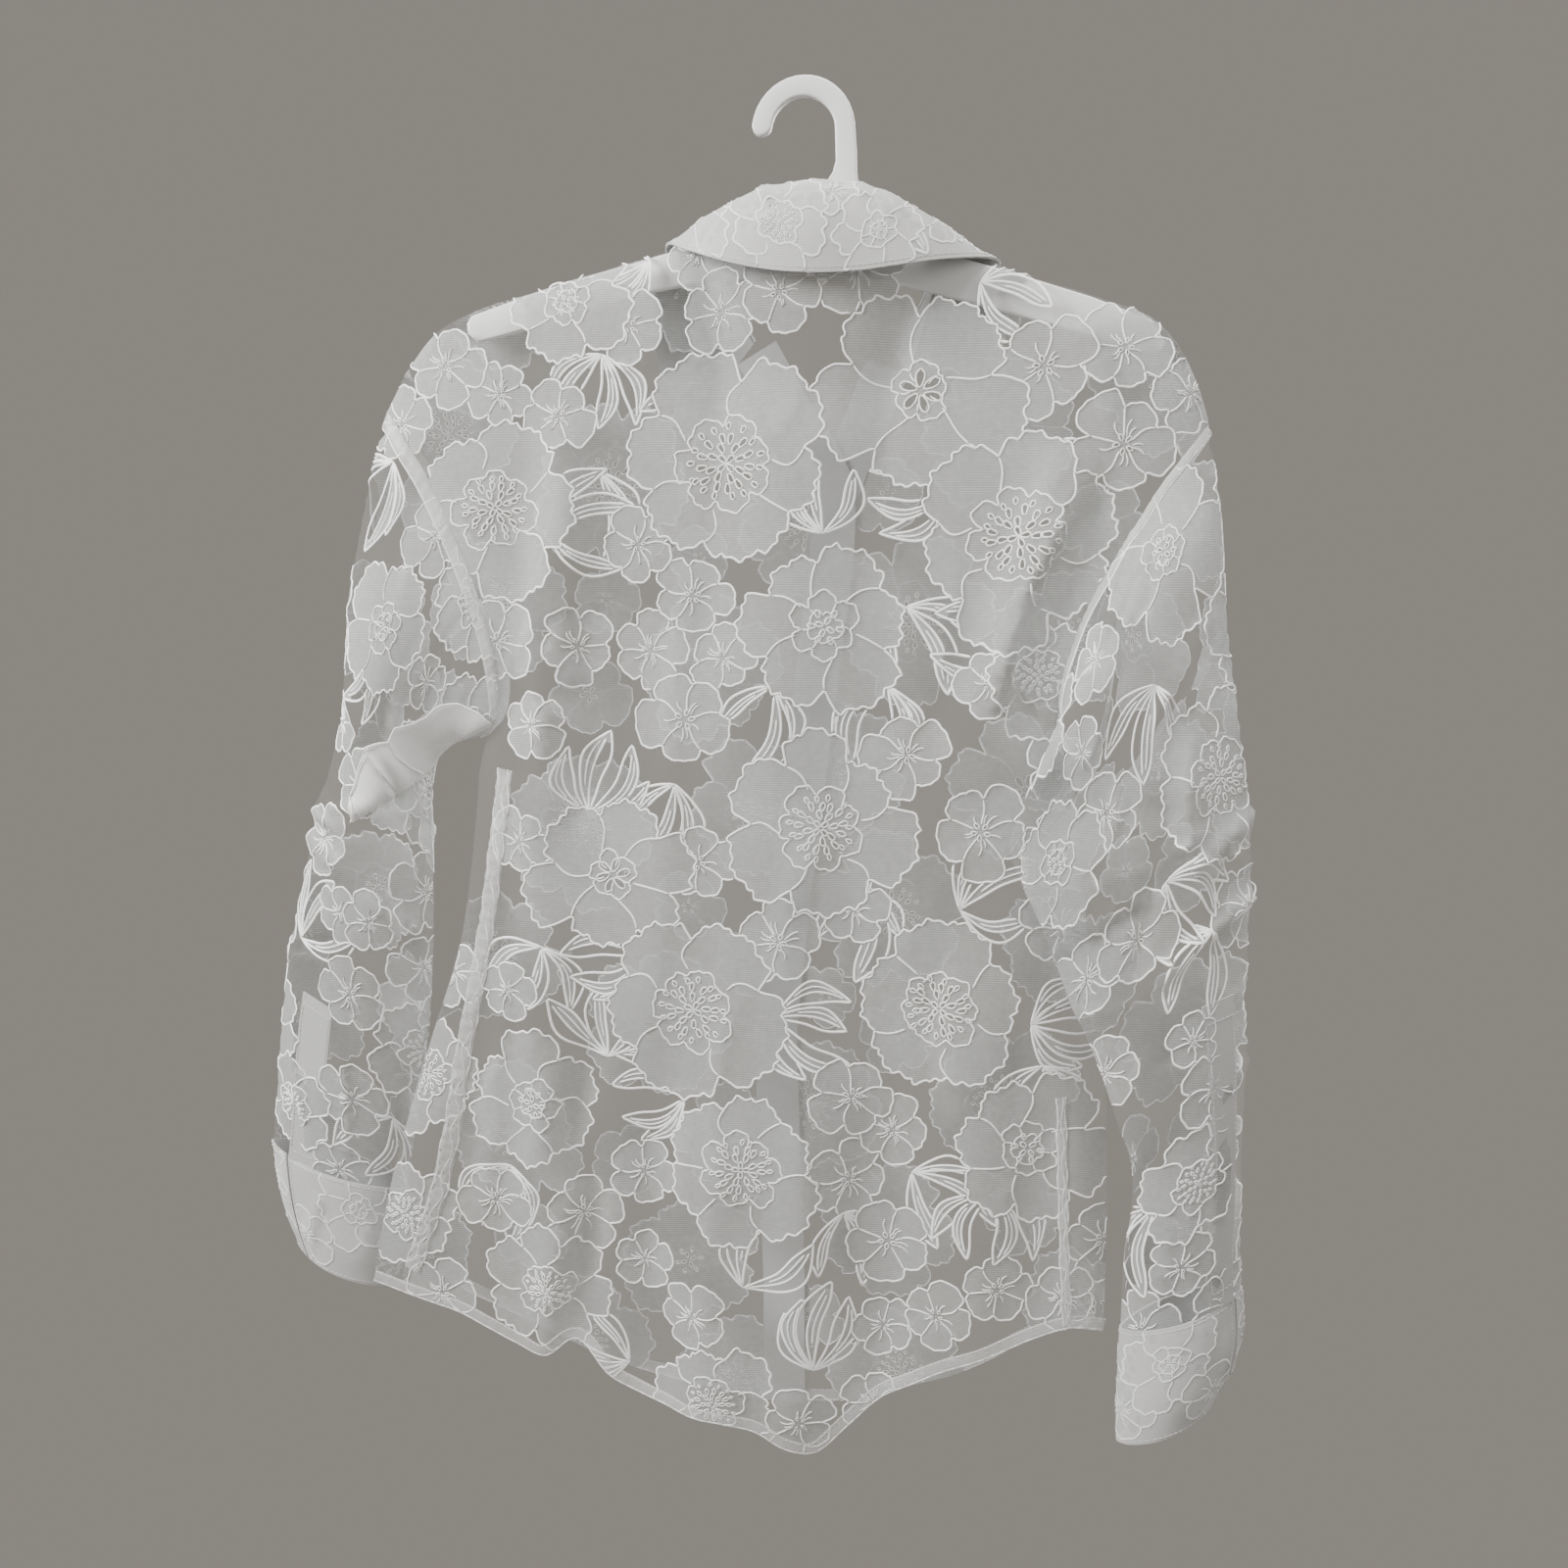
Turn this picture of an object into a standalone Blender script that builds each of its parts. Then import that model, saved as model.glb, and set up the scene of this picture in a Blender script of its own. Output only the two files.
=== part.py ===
"""Embroidered shirt on a flat plastic hanger.

Frame: metres in the file, millimetres in the tables. +X is the wearer's right, +Z is up,
and the back of the shirt faces -Y. The origin is the inner top of the hanger's hook,
which is the point that hangs on a peg.

Every cloth piece is a wall of constant thickness round a middle surface. The middle
surfaces share their seam points, and each wall stops a little short of its seam.
"""

import math

import bmesh
import bpy
import numpy as np

MM = 0.001

# Walls and clearances, mm
CLOTH = 1.2
COLLAR_WALL = 1.6
CUFF_WALL = 1.6
BAND_WALL = 1.2
SEAM_PULL = 0.17
CORNER_PULL = 2.0
LAY_GAP = 0.35
FALL_GAP = 0.6

# Hanger, mm
HOOK_INNER_RADIUS = 18.5
HOOK_WIDTH = 11.5
HOOK_THICK = 5.0
ARM_SINK = 1.15

# Bands and buttons, mm
BAND_WIDTH = 27.0
PLACKET_CELLS = 3
BUTTON_RADIUS = 5.6
BUTTON_THICK = 2.2
BUTTON_COUNT = 6
BUTTON_TOP_Z = -238.0
BUTTON_SPACING = 96.0

# Grid of the body panels
SHOULDER_CELLS = 8
NECK_CELLS = 8
ROW_FRACTIONS = [0, 0.0009, 0.007, 0.02, 0.05, 0.09, 0.14, 0.19, 0.24, 0.29, 0.33, 0.36]
ARMHOLE_FRACTIONS = [0, 0.02, 0.06, 0.12, 0.22, 0.33, 0.45, 0.57, 0.69, 0.81, 0.92, 1]
SKIRT_ROWS = 17
EDGE_REACH = 0.1
RIDGE_REACH = 0.12
NECK_FIRST_ROW = 0.004

# Shoulder lines from armhole to neck: x, z
SHOULDER_LEFT = [(-256, -172), (-248, -158), (-236, -140), (-220, -124), (-204, -116),
                 (-164, -105), (-123, -94), (-102, -89), (-74, -82), (-62, -79)]
SHOULDER_RIGHT = [(235, -186), (229, -168), (219, -148), (210, -133), (200, -126),
                  (167, -114), (136, -104), (120, -99), (95, -91), (80, -87)]

# Armhole edges from shoulder to underarm: x, z, y
ARMHOLES = {
    ("left", "back"): [(-256, -172, 0), (-243, -190, -7), (-228, -212, -11), (-212, -243, -14),
                       (-198, -277, -15), (-189, -308, -14), (-185, -335, -12),
                       (-185, -352, -9), (-188, -364, -5), (-195, -371, 0)],
    ("left", "front"): [(-256, -172, 0), (-243, -190, 7), (-228, -212, 11), (-212, -243, 14),
                        (-198, -277, 15), (-189, -308, 14), (-185, -335, 12),
                        (-185, -352, 9), (-188, -364, 5), (-195, -371, 0)],
    ("right", "back"): [(235, -186, 0), (224, -200, -6), (211, -217, -9), (199, -236, -11),
                        (189, -255, -12), (176, -276, -12.5), (164, -306, -12),
                        (157, -335, -10), (156, -352, -8), (159, -367, -4.5),
                        (166, -376, 0)],
    ("right", "front"): [(235, -186, 0), (224, -203, 6), (211, -225, 9), (198, -256, 10),
                         (190, -292, 10), (187, -328, 10), (185, -348, 10),
                         (181, -366, 8), (175, -376, 4.5), (166, -376, 0)],
}

# Side edges from underarm to hem: x, z, y
SIDE_LEFT = [(-195, -371, 0), (-200, -388, -2), (-204, -434, -4), (-214, -504, -6),
             (-233, -565, -9), (-247, -612, -12), (-260, -657, -13), (-272, -708, -13),
             (-277, -735, -12)]
SIDE_RIGHT = [(166, -376, 0), (168, -400, 2), (174, -450, 3), (184, -520, 3),
              (193, -586, 0), (196, -650, -2), (197, -700, -3), (197, -738, -3)]

# Neck seam of the back from left to right: x, z, y
NECK_BACK = [(-62, -79, 0), (-47, -88, -12), (-20, -97, -18), (8, -100, -20),
             (36, -98, -18), (62, -93, -12), (80, -87, 0)]

# Hems from left to right: x, z
HEM_BACK = [(-277, -735), (-217, -753), (-170, -775), (-152, -778), (-141, -762),
            (-133, -772), (-112, -795), (-66, -808), (-27, -811), (-5, -822), (9, -833),
            (24, -826), (52, -795), (96, -769), (134, -750), (172, -733), (197, -738)]
HEM_FRONT = [(-277, -735), (-240, -746), (-190, -766), (-130, -790), (-70, -806),
             (-18, -814), (9, -814), (60, -803), (110, -783), (155, -757), (197, -738)]

# Centre of the closed front: x, z
CENTRE_FRONT = [(22, -205), (19, -255), (12, -320), (5, -385), (-6, -480), (-13, -560),
                (-10, -640), (-6, -726), (-5, -813)]
# Front edges of the open neck, from the neck point to the closed front: x, z, y
NECK_FRONT_LEFT = [(-62, -79, 0), (-59, -96, 9), (-54, -114, 13), (-46, -134, 15),
                   (-32, -160, 15), (-10, -196, 14), (6, -222, 14)]
NECK_FRONT_RIGHT = [(80, -87, 0), (78, -102, 9), (74, -120, 13), (68, -138, 15),
                    (60, -162, 16), (46, -196, 16), (34, -222, 16)]
STAND_ROWS = 5
CLOSED_FRONT_Z = -222
FRONT_EDGE_Y = {"left": 14.0, "right": 15.6}

# Depth of a panel from the middle plane against the distance below the shoulder line
DEPTH_BELOW = [0, 0.6, 5, 14, 40, 110, 300, 520, 760]
DEPTH = [0, 4.2, 7.2, 9.5, 12, 13, 14, 13, 12]

# Largest folds of the back: name, x and z of both ends, half width, rise towards the eye
BACK_FOLDS = [
    ("right diagonal crest", 158, -205, 98, -392, 15, 9),
    ("right diagonal valley", 178, -225, 130, -372, 15, -4),
    ("left long fold", -134, -170, -160, -440, 16, 8),
    ("left long valley", -165, -200, -186, -430, 13, -4),
    ("left low fold", -162, -470, -150, -770, 17, 9),
    ("left low valley", -132, -560, -134, -790, 10, -5),
    ("left side roll", -214, -430, -250, -720, 13, 6),
    ("neck hollow", -70, -160, 70, -165, 20, -3),
    ("left blade crease", -100, -165, -60, -158, 7, 3),
    ("waist roll", -60, -330, -90, -560, 22, 5),
    ("centre hem fold", 18, -560, 10, -830, 20, 7),
    ("centre hem valley", 52, -600, 60, -800, 18, -5),
    ("right hem fold", 108, -520, 120, -765, 20, 6),
    ("right side valley", 160, -585, 166, -735, 7, -4),
    ("left hem valley", -92, -600, -84, -806, 18, -5),
    ("left hem roll", -50, -620, -48, -812, 16, 5),
]
# Largest folds of the front: the same columns, rise away from the eye
FRONT_FOLDS = [
    ("left chest fold", -120, -180, -90, -420, 18, 6),
    ("left chest valley", -160, -230, -150, -420, 16, -4),
    ("left hem fold", -170, -520, -190, -755, 20, 7),
    ("left hem valley", -120, -560, -120, -790, 20, -5),
    ("left inner fold", -70, -560, -62, -805, 18, 6),
    ("right chest fold", 120, -200, 100, -430, 18, 6),
    ("right inner fold", 60, -520, 66, -800, 18, 6),
    ("right hem valley", 105, -560, 112, -780, 18, -5),
    ("right hem fold", 150, -500, 156, -755, 18, 6),
]

# How a sleeve leaves its armhole: directions at the shoulder and at the underarm (x, y, z),
# and the rings between the armhole and the first ring of its table
SLEEVE_START = {"left": ((-25, 0, -75), (-34, 1, -14)), "right": ((14, -5, -78), (38, -42, 4))}
START_RINGS = {"left": 2, "right": 3}
# Sleeve rings below the armhole. Outer and inner silhouette point (x, z, y), bow of the
# back and front half towards the body, and their half depths
SLEEVE_COLUMNS = ("ox", "oz", "oy", "ix", "iz", "iy", "bow_b", "bow_f", "dep_b", "dep_f")
RINGS_LEFT = [
    (-279, -254, 2, -227, -384, 4, 8, 7, 24, 21),
    (-287, -290, 3, -233, -393, 5, 3, 4, 26, 23),
    (-290, -325, 4, -236, -412, 5, 0, 0, 27, 24),
    (-294, -360, 5, -237, -436, 6, 0, 0, 27, 24),
    (-304, -394, 6, -237, -464, 7, 0, 0, 26, 24),
    (-315, -428, 8, -238, -494, 8, 0, 0, 25, 23),
    (-325, -462, 9, -240, -524, 10, 0, 0, 24, 22),
    (-334, -497, 10, -243, -552, 12, 0, 0, 23, 21),
    (-342, -532, 11, -247, -580, 14, 0, 0, 21, 20),
    (-348, -566, 12, -251, -607, 16, 0, 0, 20, 19),
    (-352, -600, 12, -257, -634, 17, 0, 0, 19, 18),
    (-354, -628, 12, -262, -660, 18, 0, 0, 19, 18),
    (-358, -652, 12, -266, -684, 19, 0, 0, 18, 17),
]
RINGS_RIGHT = [
    (243, -272, -18, 128, -428, -28, 8, -28, 20, 12),
    (246, -300, -20, 131, -440, -30, 6, -16, 18, 12),
    (250, -326, -22, 136, -452, -32, 3, -9, 16, 11),
    (254, -352, -24, 142, -464, -34, 0, -4, 15, 10),
    (258, -380, -26, 148, -477, -35, 0, 0, 14, 9),
    (262, -410, -26, 154, -491, -36, 0, 0, 14, 9),
    (264, -441, -26, 160, -506, -36, 0, 0, 15, 10),
    (265, -473, -26, 166, -522, -36, 0, 0, 16, 11),
    (266, -505, -26, 174, -537, -36, 0, 0, 17, 12),
    (267, -540, -26, 185, -562, -36, 0, 0, 18, 13),
    (268, -574, -26, 195, -590, -36, 0, 0, 18, 14),
    (268, -606, -26, 204, -616, -35, 0, 0, 18, 15),
    (269, -636, -26, 205, -643, -34, 0, 0, 18, 15),
    (270, -664, -26, 202, -672, -33, 0, 0, 18, 15),
    (272, -690, -26, 202, -717, -33, 0, 0, 17, 15),
]
# Cuff rings below the sleeve: the same columns
CUFF_LEFT = [
    (-357, -656, 12, -267, -690, 19, 0, 0, 19, 18),
    (-354, -680, 12, -268, -711, 19, 0, 0, 20, 19),
    (-348, -704, 12, -269, -733, 18, 0, 0, 20, 19),
    (-341, -724, 12, -270, -753, 18, 0, 0, 19, 18),
]
CUFF_RIGHT = [
    (273, -698, -26, 202, -725, -33, 0, 0, 18, 16),
    (274, -716, -26, 202, -746, -33, 0, 0, 19, 17),
    (270, -738, -26, 202, -768, -33, 0, 0, 19, 17),
    (261, -760, -26, 203, -789, -33, 0, 0, 17, 16),
]
# Place of the slit on the back half of a sleeve, as a share of the way from the outer
# to the inner point, and the ring where it starts
SLIT_SHARE = {"left": 0.20, "right": 0.13}
SLIT_RING = {"left": 12, "right": 13}
SLIT_HALF = 0.9

# Collar stations, one for each point of the neck seam: name, rise of the stand dx dy dz,
# lower edge of the fall x y z
COLLAR = [
    ("left point", 9, 3, 13, -78, 30, -178),
    ("left front", 6, 4, 13, -92, 28, -142),
    ("left bend", 1, 4, 10, -94, 21, -112),
    ("left roll", -2, 2, 8, -88, 13, -93),
    ("left over", -3, 1, 7, -83, 8, -84),
    ("left shoulder", -3, 0, 6, -80, 0, -78.5),
    ("left nape", -1, 0, 17, -67, -16, -87),
    ("left back", 0, 1, 31, -44, -26, -97),
    ("left of middle", 0, 2, 40, -18, -31, -104),
    ("middle back", 0, 2, 44, 8, -33, -107),
    ("right of middle", 0, 2, 41, 33, -32, -106.5),
    ("right back", 1, 1, 33, 58, -29, -103),
    ("right nape", 2, 0, 20, 84, -21, -98),
    ("right shoulder", 5, 0, 8, 112, 0, -92),
    ("right over", 5, 1, 8, 115, 8, -96),
    ("right roll", 4, 2, 8.5, 118, 14, -104),
    ("right bend", 2, 3.5, 10, 121, 22, -120),
    ("right front", -2, 4, 12, 115, 28, -148),
    ("right point", -8, 3, 13, 100, 30, -182),
]

COLOURS = {
    "cloth": ((0.62, 0.62, 0.61, 1.0), 0.75),
    "collar": ((0.68, 0.68, 0.67, 1.0), 0.7),
    "band": ((0.72, 0.72, 0.71, 1.0), 0.7),
    "plastic": ((0.70, 0.70, 0.69, 1.0), 0.42),
    "button": ((0.80, 0.79, 0.76, 1.0), 0.3),
}


def clear_scene():
    for item in list(bpy.data.objects):
        bpy.data.objects.remove(item, do_unlink=True)


def make_material(name, kind):
    colour, roughness = COLOURS[kind]
    material = bpy.data.materials.new(name)
    material.use_nodes = True
    shader = material.node_tree.nodes["Principled BSDF"]
    shader.inputs["Base Color"].default_value = colour
    shader.inputs["Roughness"].default_value = roughness
    shader.inputs["Metallic"].default_value = 0.0
    return material


def add_object(name, verts, faces, kind, smooth=True):
    mesh = bpy.data.meshes.new(name)
    mesh.from_pydata([tuple(float(c) * MM for c in v) for v in verts], [], faces)
    mesh.update()
    mesh.materials.append(make_material(name, kind))
    if smooth:
        mesh.shade_smooth()
        mesh.set_sharp_from_angle(angle=math.radians(40))
    item = bpy.data.objects.new(name, mesh)
    bpy.context.scene.collection.objects.link(item)
    return item


def unit(vector):
    length = np.linalg.norm(vector)
    return vector / length if length > 1e-12 else vector


def smoothstep(value):
    value = np.clip(value, 0.0, 1.0)
    return value * value * (3 - 2 * value)


def curve_through(points, fractions):
    """Points at the given fractions of arc length on a smooth curve through a table."""
    table = np.array(points, dtype=float)
    ends = np.vstack([2 * table[0] - table[1], table, 2 * table[-1] - table[-2]])
    dense = []
    steps = 12
    for i in range(1, len(ends) - 2):
        p0, p1, p2, p3 = ends[i - 1], ends[i], ends[i + 1], ends[i + 2]
        for k in range(steps):
            t = k / steps
            dense.append(0.5 * (2 * p1 + (p2 - p0) * t + (2 * p0 - 5 * p1 + 4 * p2 - p3) * t ** 2
                                + (3 * p1 - p0 - 3 * p2 + p3) * t ** 3))
    dense.append(table[-1])
    dense = np.array(dense)
    lengths = np.concatenate([[0], np.cumsum(np.linalg.norm(np.diff(dense, axis=0), axis=1))])
    wanted = np.array(fractions) * lengths[-1]
    return np.column_stack([np.interp(wanted, lengths, dense[:, k])
                            for k in range(dense.shape[1])])


def line_at_x(table, xs):
    """Height of a hem table at each x."""
    data = np.array(table, dtype=float)
    return np.interp(xs, data[:, 0], data[:, 1])


def fold_height(folds, x, z):
    """Sum of the soft ridges and troughs of a fold table at one place."""
    total = 0.0
    for _, x0, z0, x1, z1, half_width, rise in folds:
        along = np.array([x1 - x0, z1 - z0], dtype=float)
        length = np.linalg.norm(along)
        along /= length
        place = np.array([x - x0, z - z0])
        s = place.dot(along) / length
        across = place[0] * along[1] - place[1] * along[0]
        ends = smoothstep((s + 0.15) / 0.35) * smoothstep((1.15 - s) / 0.35)
        total += rise * ends * math.exp(-(across / half_width) ** 2)
    return total


# Body panels

ROWS = ROW_FRACTIONS + [ROW_FRACTIONS[-1] + (1 - ROW_FRACTIONS[-1]) * (k + 1) / SKIRT_ROWS
                        for k in range(SKIRT_ROWS)]
UNDERARM_ROW = len(ROW_FRACTIONS) - 1


def side_edge(side, sign):
    """Armhole and side edge of a panel: x, y, z for each row. sign -1 back, +1 front."""
    armhole = ARMHOLES[side, "back" if sign < 0 else "front"]
    seam = SIDE_LEFT if side == "left" else SIDE_RIGHT
    top = curve_through(armhole, ARMHOLE_FRACTIONS)
    low = curve_through(seam, [(k + 1) / SKIRT_ROWS for k in range(SKIRT_ROWS)])
    upper = np.column_stack([top[:, 0], top[:, 2], top[:, 1]])
    lower = np.column_stack([low[:, 0], low[:, 2], low[:, 1]])
    return np.vstack([upper, lower])


def shoulder_edge(side):
    """Shoulder seam from armhole to neck: x, y, z for each column."""
    table = SHOULDER_LEFT if side == "left" else SHOULDER_RIGHT
    line = curve_through(table, [k / SHOULDER_CELLS for k in range(SHOULDER_CELLS + 1)])
    return np.column_stack([line[:, 0], np.zeros(len(line)), line[:, 1]])


def straight_shoulders(top):
    """The top edge with each shoulder laid on the straight line between its ends."""
    plain = top.copy()
    last = len(top) - 1
    spans = [(0, SHOULDER_CELLS)]
    if last > SHOULDER_CELLS:
        spans.append((last - SHOULDER_CELLS, last))
    for a, b in spans:
        for k in range(a, b + 1):
            plain[k] = top[a] + (top[b] - top[a]) * (k - a) / (b - a)
    return plain


def fill_panel(top, bottom, left, right, sign, folds, reach):
    """Panel grid from its four edges. reach is the share of the width that an edge bends."""
    rows = len(ROWS)
    cols = len(top)
    grid = np.zeros((rows, cols, 3))
    flat_top = straight_shoulders(top)
    for j in range(cols):
        u = j / (cols - 1)
        at_neck = cols > 2 * SHOULDER_CELLS and SHOULDER_CELLS < j < cols - 1 - SHOULDER_CELLS
        for i, v in enumerate(ROWS):
            if at_neck and i == 1:
                v = NECK_FIRST_ROW
            grown = smoothstep(v / 0.1)
            reach_l = RIDGE_REACH + (reach[0] - RIDGE_REACH) * grown
            reach_r = RIDGE_REACH + (reach[1] - RIDGE_REACH) * grown
            from_left = max(0.0, 1 - u / reach_l) ** 1.6
            from_right = max(0.0, 1 - (1 - u) / reach_r) ** 1.6
            fade = smoothstep(v / 0.3)
            head = top[j] + (flat_top[j] - top[j]) * fade
            plain = (1 - v) * head + v * bottom[j]
            bend_left = left[i] - ((1 - v) * left[0] + v * left[-1])
            bend_right = right[i] - ((1 - v) * right[0] + v * right[-1])
            point = plain + from_left * bend_left + from_right * bend_right
            drop = top[j][2] - point[2]
            depth = max(np.interp(drop, DEPTH_BELOW, DEPTH), sign * top[j][1])
            near_left = max(0.0, 1 - u / EDGE_REACH) ** 2
            near_right = max(0.0, 1 - (1 - u) / EDGE_REACH) ** 2
            quiet = smoothstep(drop / 45) * (1 - near_left) * (1 - near_right)
            depth += quiet * fold_height(folds, point[0], point[2])
            middle = 1 - near_left - near_right
            point[1] = (middle * sign * depth + near_left * left[i][1]
                        + near_right * right[i][1])
            grid[i, j] = point
    return grid


def back_panel():
    left = side_edge("left", -1)
    right = side_edge("right", -1)
    shoulder_l = shoulder_edge("left")
    shoulder_r = shoulder_edge("right")[::-1]
    neck = curve_through(NECK_BACK, [k / NECK_CELLS for k in range(NECK_CELLS + 1)])
    neck = np.column_stack([neck[:, 0], neck[:, 2], neck[:, 1]])
    top = np.vstack([shoulder_l, neck[1:-1], shoulder_r])
    xs = np.linspace(left[-1][0], right[-1][0], len(top))
    bottom = np.column_stack([xs, np.zeros(len(xs)), line_at_x(HEM_BACK, xs)])
    return fill_panel(top, bottom, left, right, -1, BACK_FOLDS, (0.55, 0.55))


def front_edge(side):
    """Front edge where the button band is sewn on: x, y, z for each row."""
    open_part = NECK_FRONT_LEFT if side == "left" else NECK_FRONT_RIGHT
    shift = (-1 if side == "left" else 1) * BAND_WIDTH / 2
    centre = np.array(CENTRE_FRONT, dtype=float)
    rows = np.array(ROWS)
    top_z = open_part[0][1]
    foot_x = centre[-1][0] + shift
    foot_z = line_at_x(HEM_FRONT, [foot_x])[0]
    zs = top_z + (foot_z - top_z) * rows
    table = np.array(open_part, dtype=float)
    points = []
    for z in zs:
        if z >= CLOSED_FRONT_Z:
            x = np.interp(-z, -table[:, 1], table[:, 0])
            y = max(np.interp(-z, -table[:, 1], table[:, 2]),
                    np.interp(top_z - z, DEPTH_BELOW, DEPTH))
        else:
            x = np.interp(-z, -centre[:, 1], centre[:, 0]) + shift
            y = FRONT_EDGE_Y[side]
        points.append((x, y, z))
    return np.array(points)


def front_panel(side):
    outer = side_edge(side, 1)
    inner = front_edge(side)
    top = shoulder_edge(side)
    xs = np.linspace(outer[-1][0], inner[-1][0], len(top))
    bottom = np.column_stack([xs, np.zeros(len(xs)), line_at_x(HEM_FRONT, xs)])
    grid = fill_panel(top, bottom, outer, inner, 1, FRONT_FOLDS, (0.8, 0.9))
    if side == "left":
        return grid
    return grid[:, ::-1]


# Sleeves

def ring_points(row, shares):
    """Closed ring through the outer and inner point: back half first, then front half."""
    data = dict(zip(SLEEVE_COLUMNS, row))
    outer = np.array([data["ox"], data["oy"], data["oz"]], dtype=float)
    inner = np.array([data["ix"], data["iy"], data["iz"]], dtype=float)
    across = inner - outer
    side = unit(np.array([across[2], 0.0, -across[0]]))
    if side[0] * (1 if outer[0] < 0 else -1) < 0:
        side = -side
    points = []
    for half, share in shares:
        base = outer + across * share
        swell = math.sin(math.pi * share) ** 0.62
        bow = data["bow_b"] if half == "back" else data["bow_f"]
        depth = -data["dep_b"] if half == "back" else data["dep_f"]
        point = base + side * bow * swell
        point[1] += depth * swell
        points.append(point)
    return points


def sleeve_shares():
    """Places round a sleeve: share from outer to inner for each column."""
    half = len(ARMHOLE_FRACTIONS) - 1
    ways = [0.25 * (1 - math.cos(math.pi * k / half)) + 0.5 * k / half
            for k in range(half + 1)]
    shares = [("back", way) for way in ways]
    shares += [("front", way) for way in reversed(ways[1:-1])]
    return shares


def start_rings(side, armhole, table_rings, shares):
    """Rings that lead from the armhole into the first ring of the table."""
    count = START_RINGS[side]
    top, low = [np.array(way, dtype=float) for way in SLEEVE_START[side]]
    weights = np.array([share for _, share in shares])[:, None]
    leave = top + (low - top) * weights
    arrive = (table_rings[1] - table_rings[0]) * (count + 1)
    result = []
    for k in range(1, count + 1):
        t = k / (count + 1)
        result.append((2 * t ** 3 - 3 * t ** 2 + 1) * armhole + (t ** 3 - 2 * t ** 2 + t) * leave
                      + (3 * t ** 2 - 2 * t ** 3) * table_rings[0] + (t ** 3 - t ** 2) * arrive)
    return result


def sleeve_grid(side, back_edge, front_edge_points):
    """Rings of a sleeve. Ring 0 is the armhole, which the panels share."""
    rings = RINGS_LEFT if side == "left" else RINGS_RIGHT
    armhole = list(back_edge[:UNDERARM_ROW + 1]) + list(front_edge_points[1:UNDERARM_ROW][::-1])
    shares = sleeve_shares()
    split = slit_column(side, shares)
    table_rings = [np.array(ring_points(row, shares)) for row in rings]
    grid = [np.array(armhole)]
    grid += start_rings(side, grid[0], table_rings, shares)
    grid += table_rings
    grid = np.array(grid)
    return close_slit(grid, split, SLIT_RING[side])


def slit_column(side, shares):
    """First of the two columns between which the slit lies."""
    ways = [share for half, share in shares if half == "back"]
    return max(k for k, share in enumerate(ways) if share <= SLIT_SHARE[side])


def close_slit(grid, column, start):
    """Draws two columns of a tube together into the lips of a slit, from a ring down."""
    grid = grid.copy()
    for i in range(len(grid)):
        near = smoothstep((i - start + 3) / 3)
        a = grid[i, column].copy()
        b = grid[i, column + 1].copy()
        middle = (a + b) / 2
        apart = unit(b - a) * SLIT_HALF
        grid[i, column] = a + (middle - apart - a) * near
        grid[i, column + 1] = b + (middle + apart - b) * near
    return grid


def tube_faces(rows, cols, open_column=None, open_from=10 ** 6, flip=False):
    faces = []
    for i in range(rows - 1):
        for j in range(cols):
            if open_column is not None and j == open_column and i >= open_from:
                continue
            k = (j + 1) % cols
            quad = (i * cols + j, i * cols + k, (i + 1) * cols + k, (i + 1) * cols + j)
            faces.append(quad[::-1] if flip else quad)
    return faces


def grid_faces(rows, cols, flip=False):
    faces = []
    for i in range(rows - 1):
        for j in range(cols - 1):
            quad = (i * cols + j, i * cols + j + 1, (i + 1) * cols + j + 1, (i + 1) * cols + j)
            faces.append(quad[::-1] if flip else quad)
    return faces


# Walls

def split_quads(points, faces):
    """Triangles of the quads, each cut along its shorter diagonal, so both walls agree."""
    result = []
    for face in faces:
        if len(face) == 3:
            result.append(tuple(face))
            continue
        a, b, c, d = face
        across = points[a] - points[c]
        other = points[b] - points[d]
        if across.dot(across) <= other.dot(other):
            result += [(a, b, c), (a, c, d)]
        else:
            result += [(a, b, d), (b, c, d)]
    return result


class Surface:
    """Middle surface of a piece: points in mm and faces that face out of the garment."""

    def __init__(self, name, points, faces, wall, kind):
        self.name = name
        self.points = np.array(points, dtype=float).reshape(-1, 3)
        self.faces = split_quads(self.points, faces)
        self.wall = wall
        self.kind = kind

    def corner_normals(self):
        normals = np.zeros_like(self.points)
        for face in self.faces:
            corners = self.points[list(face)]
            count = len(face)
            for k in range(count):
                a = corners[k - 1] - corners[k]
                b = corners[(k + 1) % count] - corners[k]
                cross = np.cross(b, a)
                size = np.linalg.norm(cross)
                if size < 1e-9:
                    continue
                angle = math.atan2(size, a.dot(b))
                normals[face[k]] += cross / size * angle
        return normals

    def boundary(self):
        """Boundary edges, each with its direction round its face."""
        count = {}
        for face in self.faces:
            for k in range(len(face)):
                a, b = face[k], face[(k + 1) % len(face)]
                count[(a, b)] = count.get((a, b), 0) + 1
        return [(a, b) for (a, b) in count if (b, a) not in count]


def key_of(point):
    return tuple(np.round(point, 4))


def shared_normals(surfaces):
    """Normals at each place, summed over all pieces that meet there."""
    total = {}
    for surface in surfaces:
        for point, normal in zip(surface.points, surface.corner_normals()):
            key = key_of(point)
            total[key] = total.get(key, np.zeros(3)) + normal
    return total


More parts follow.
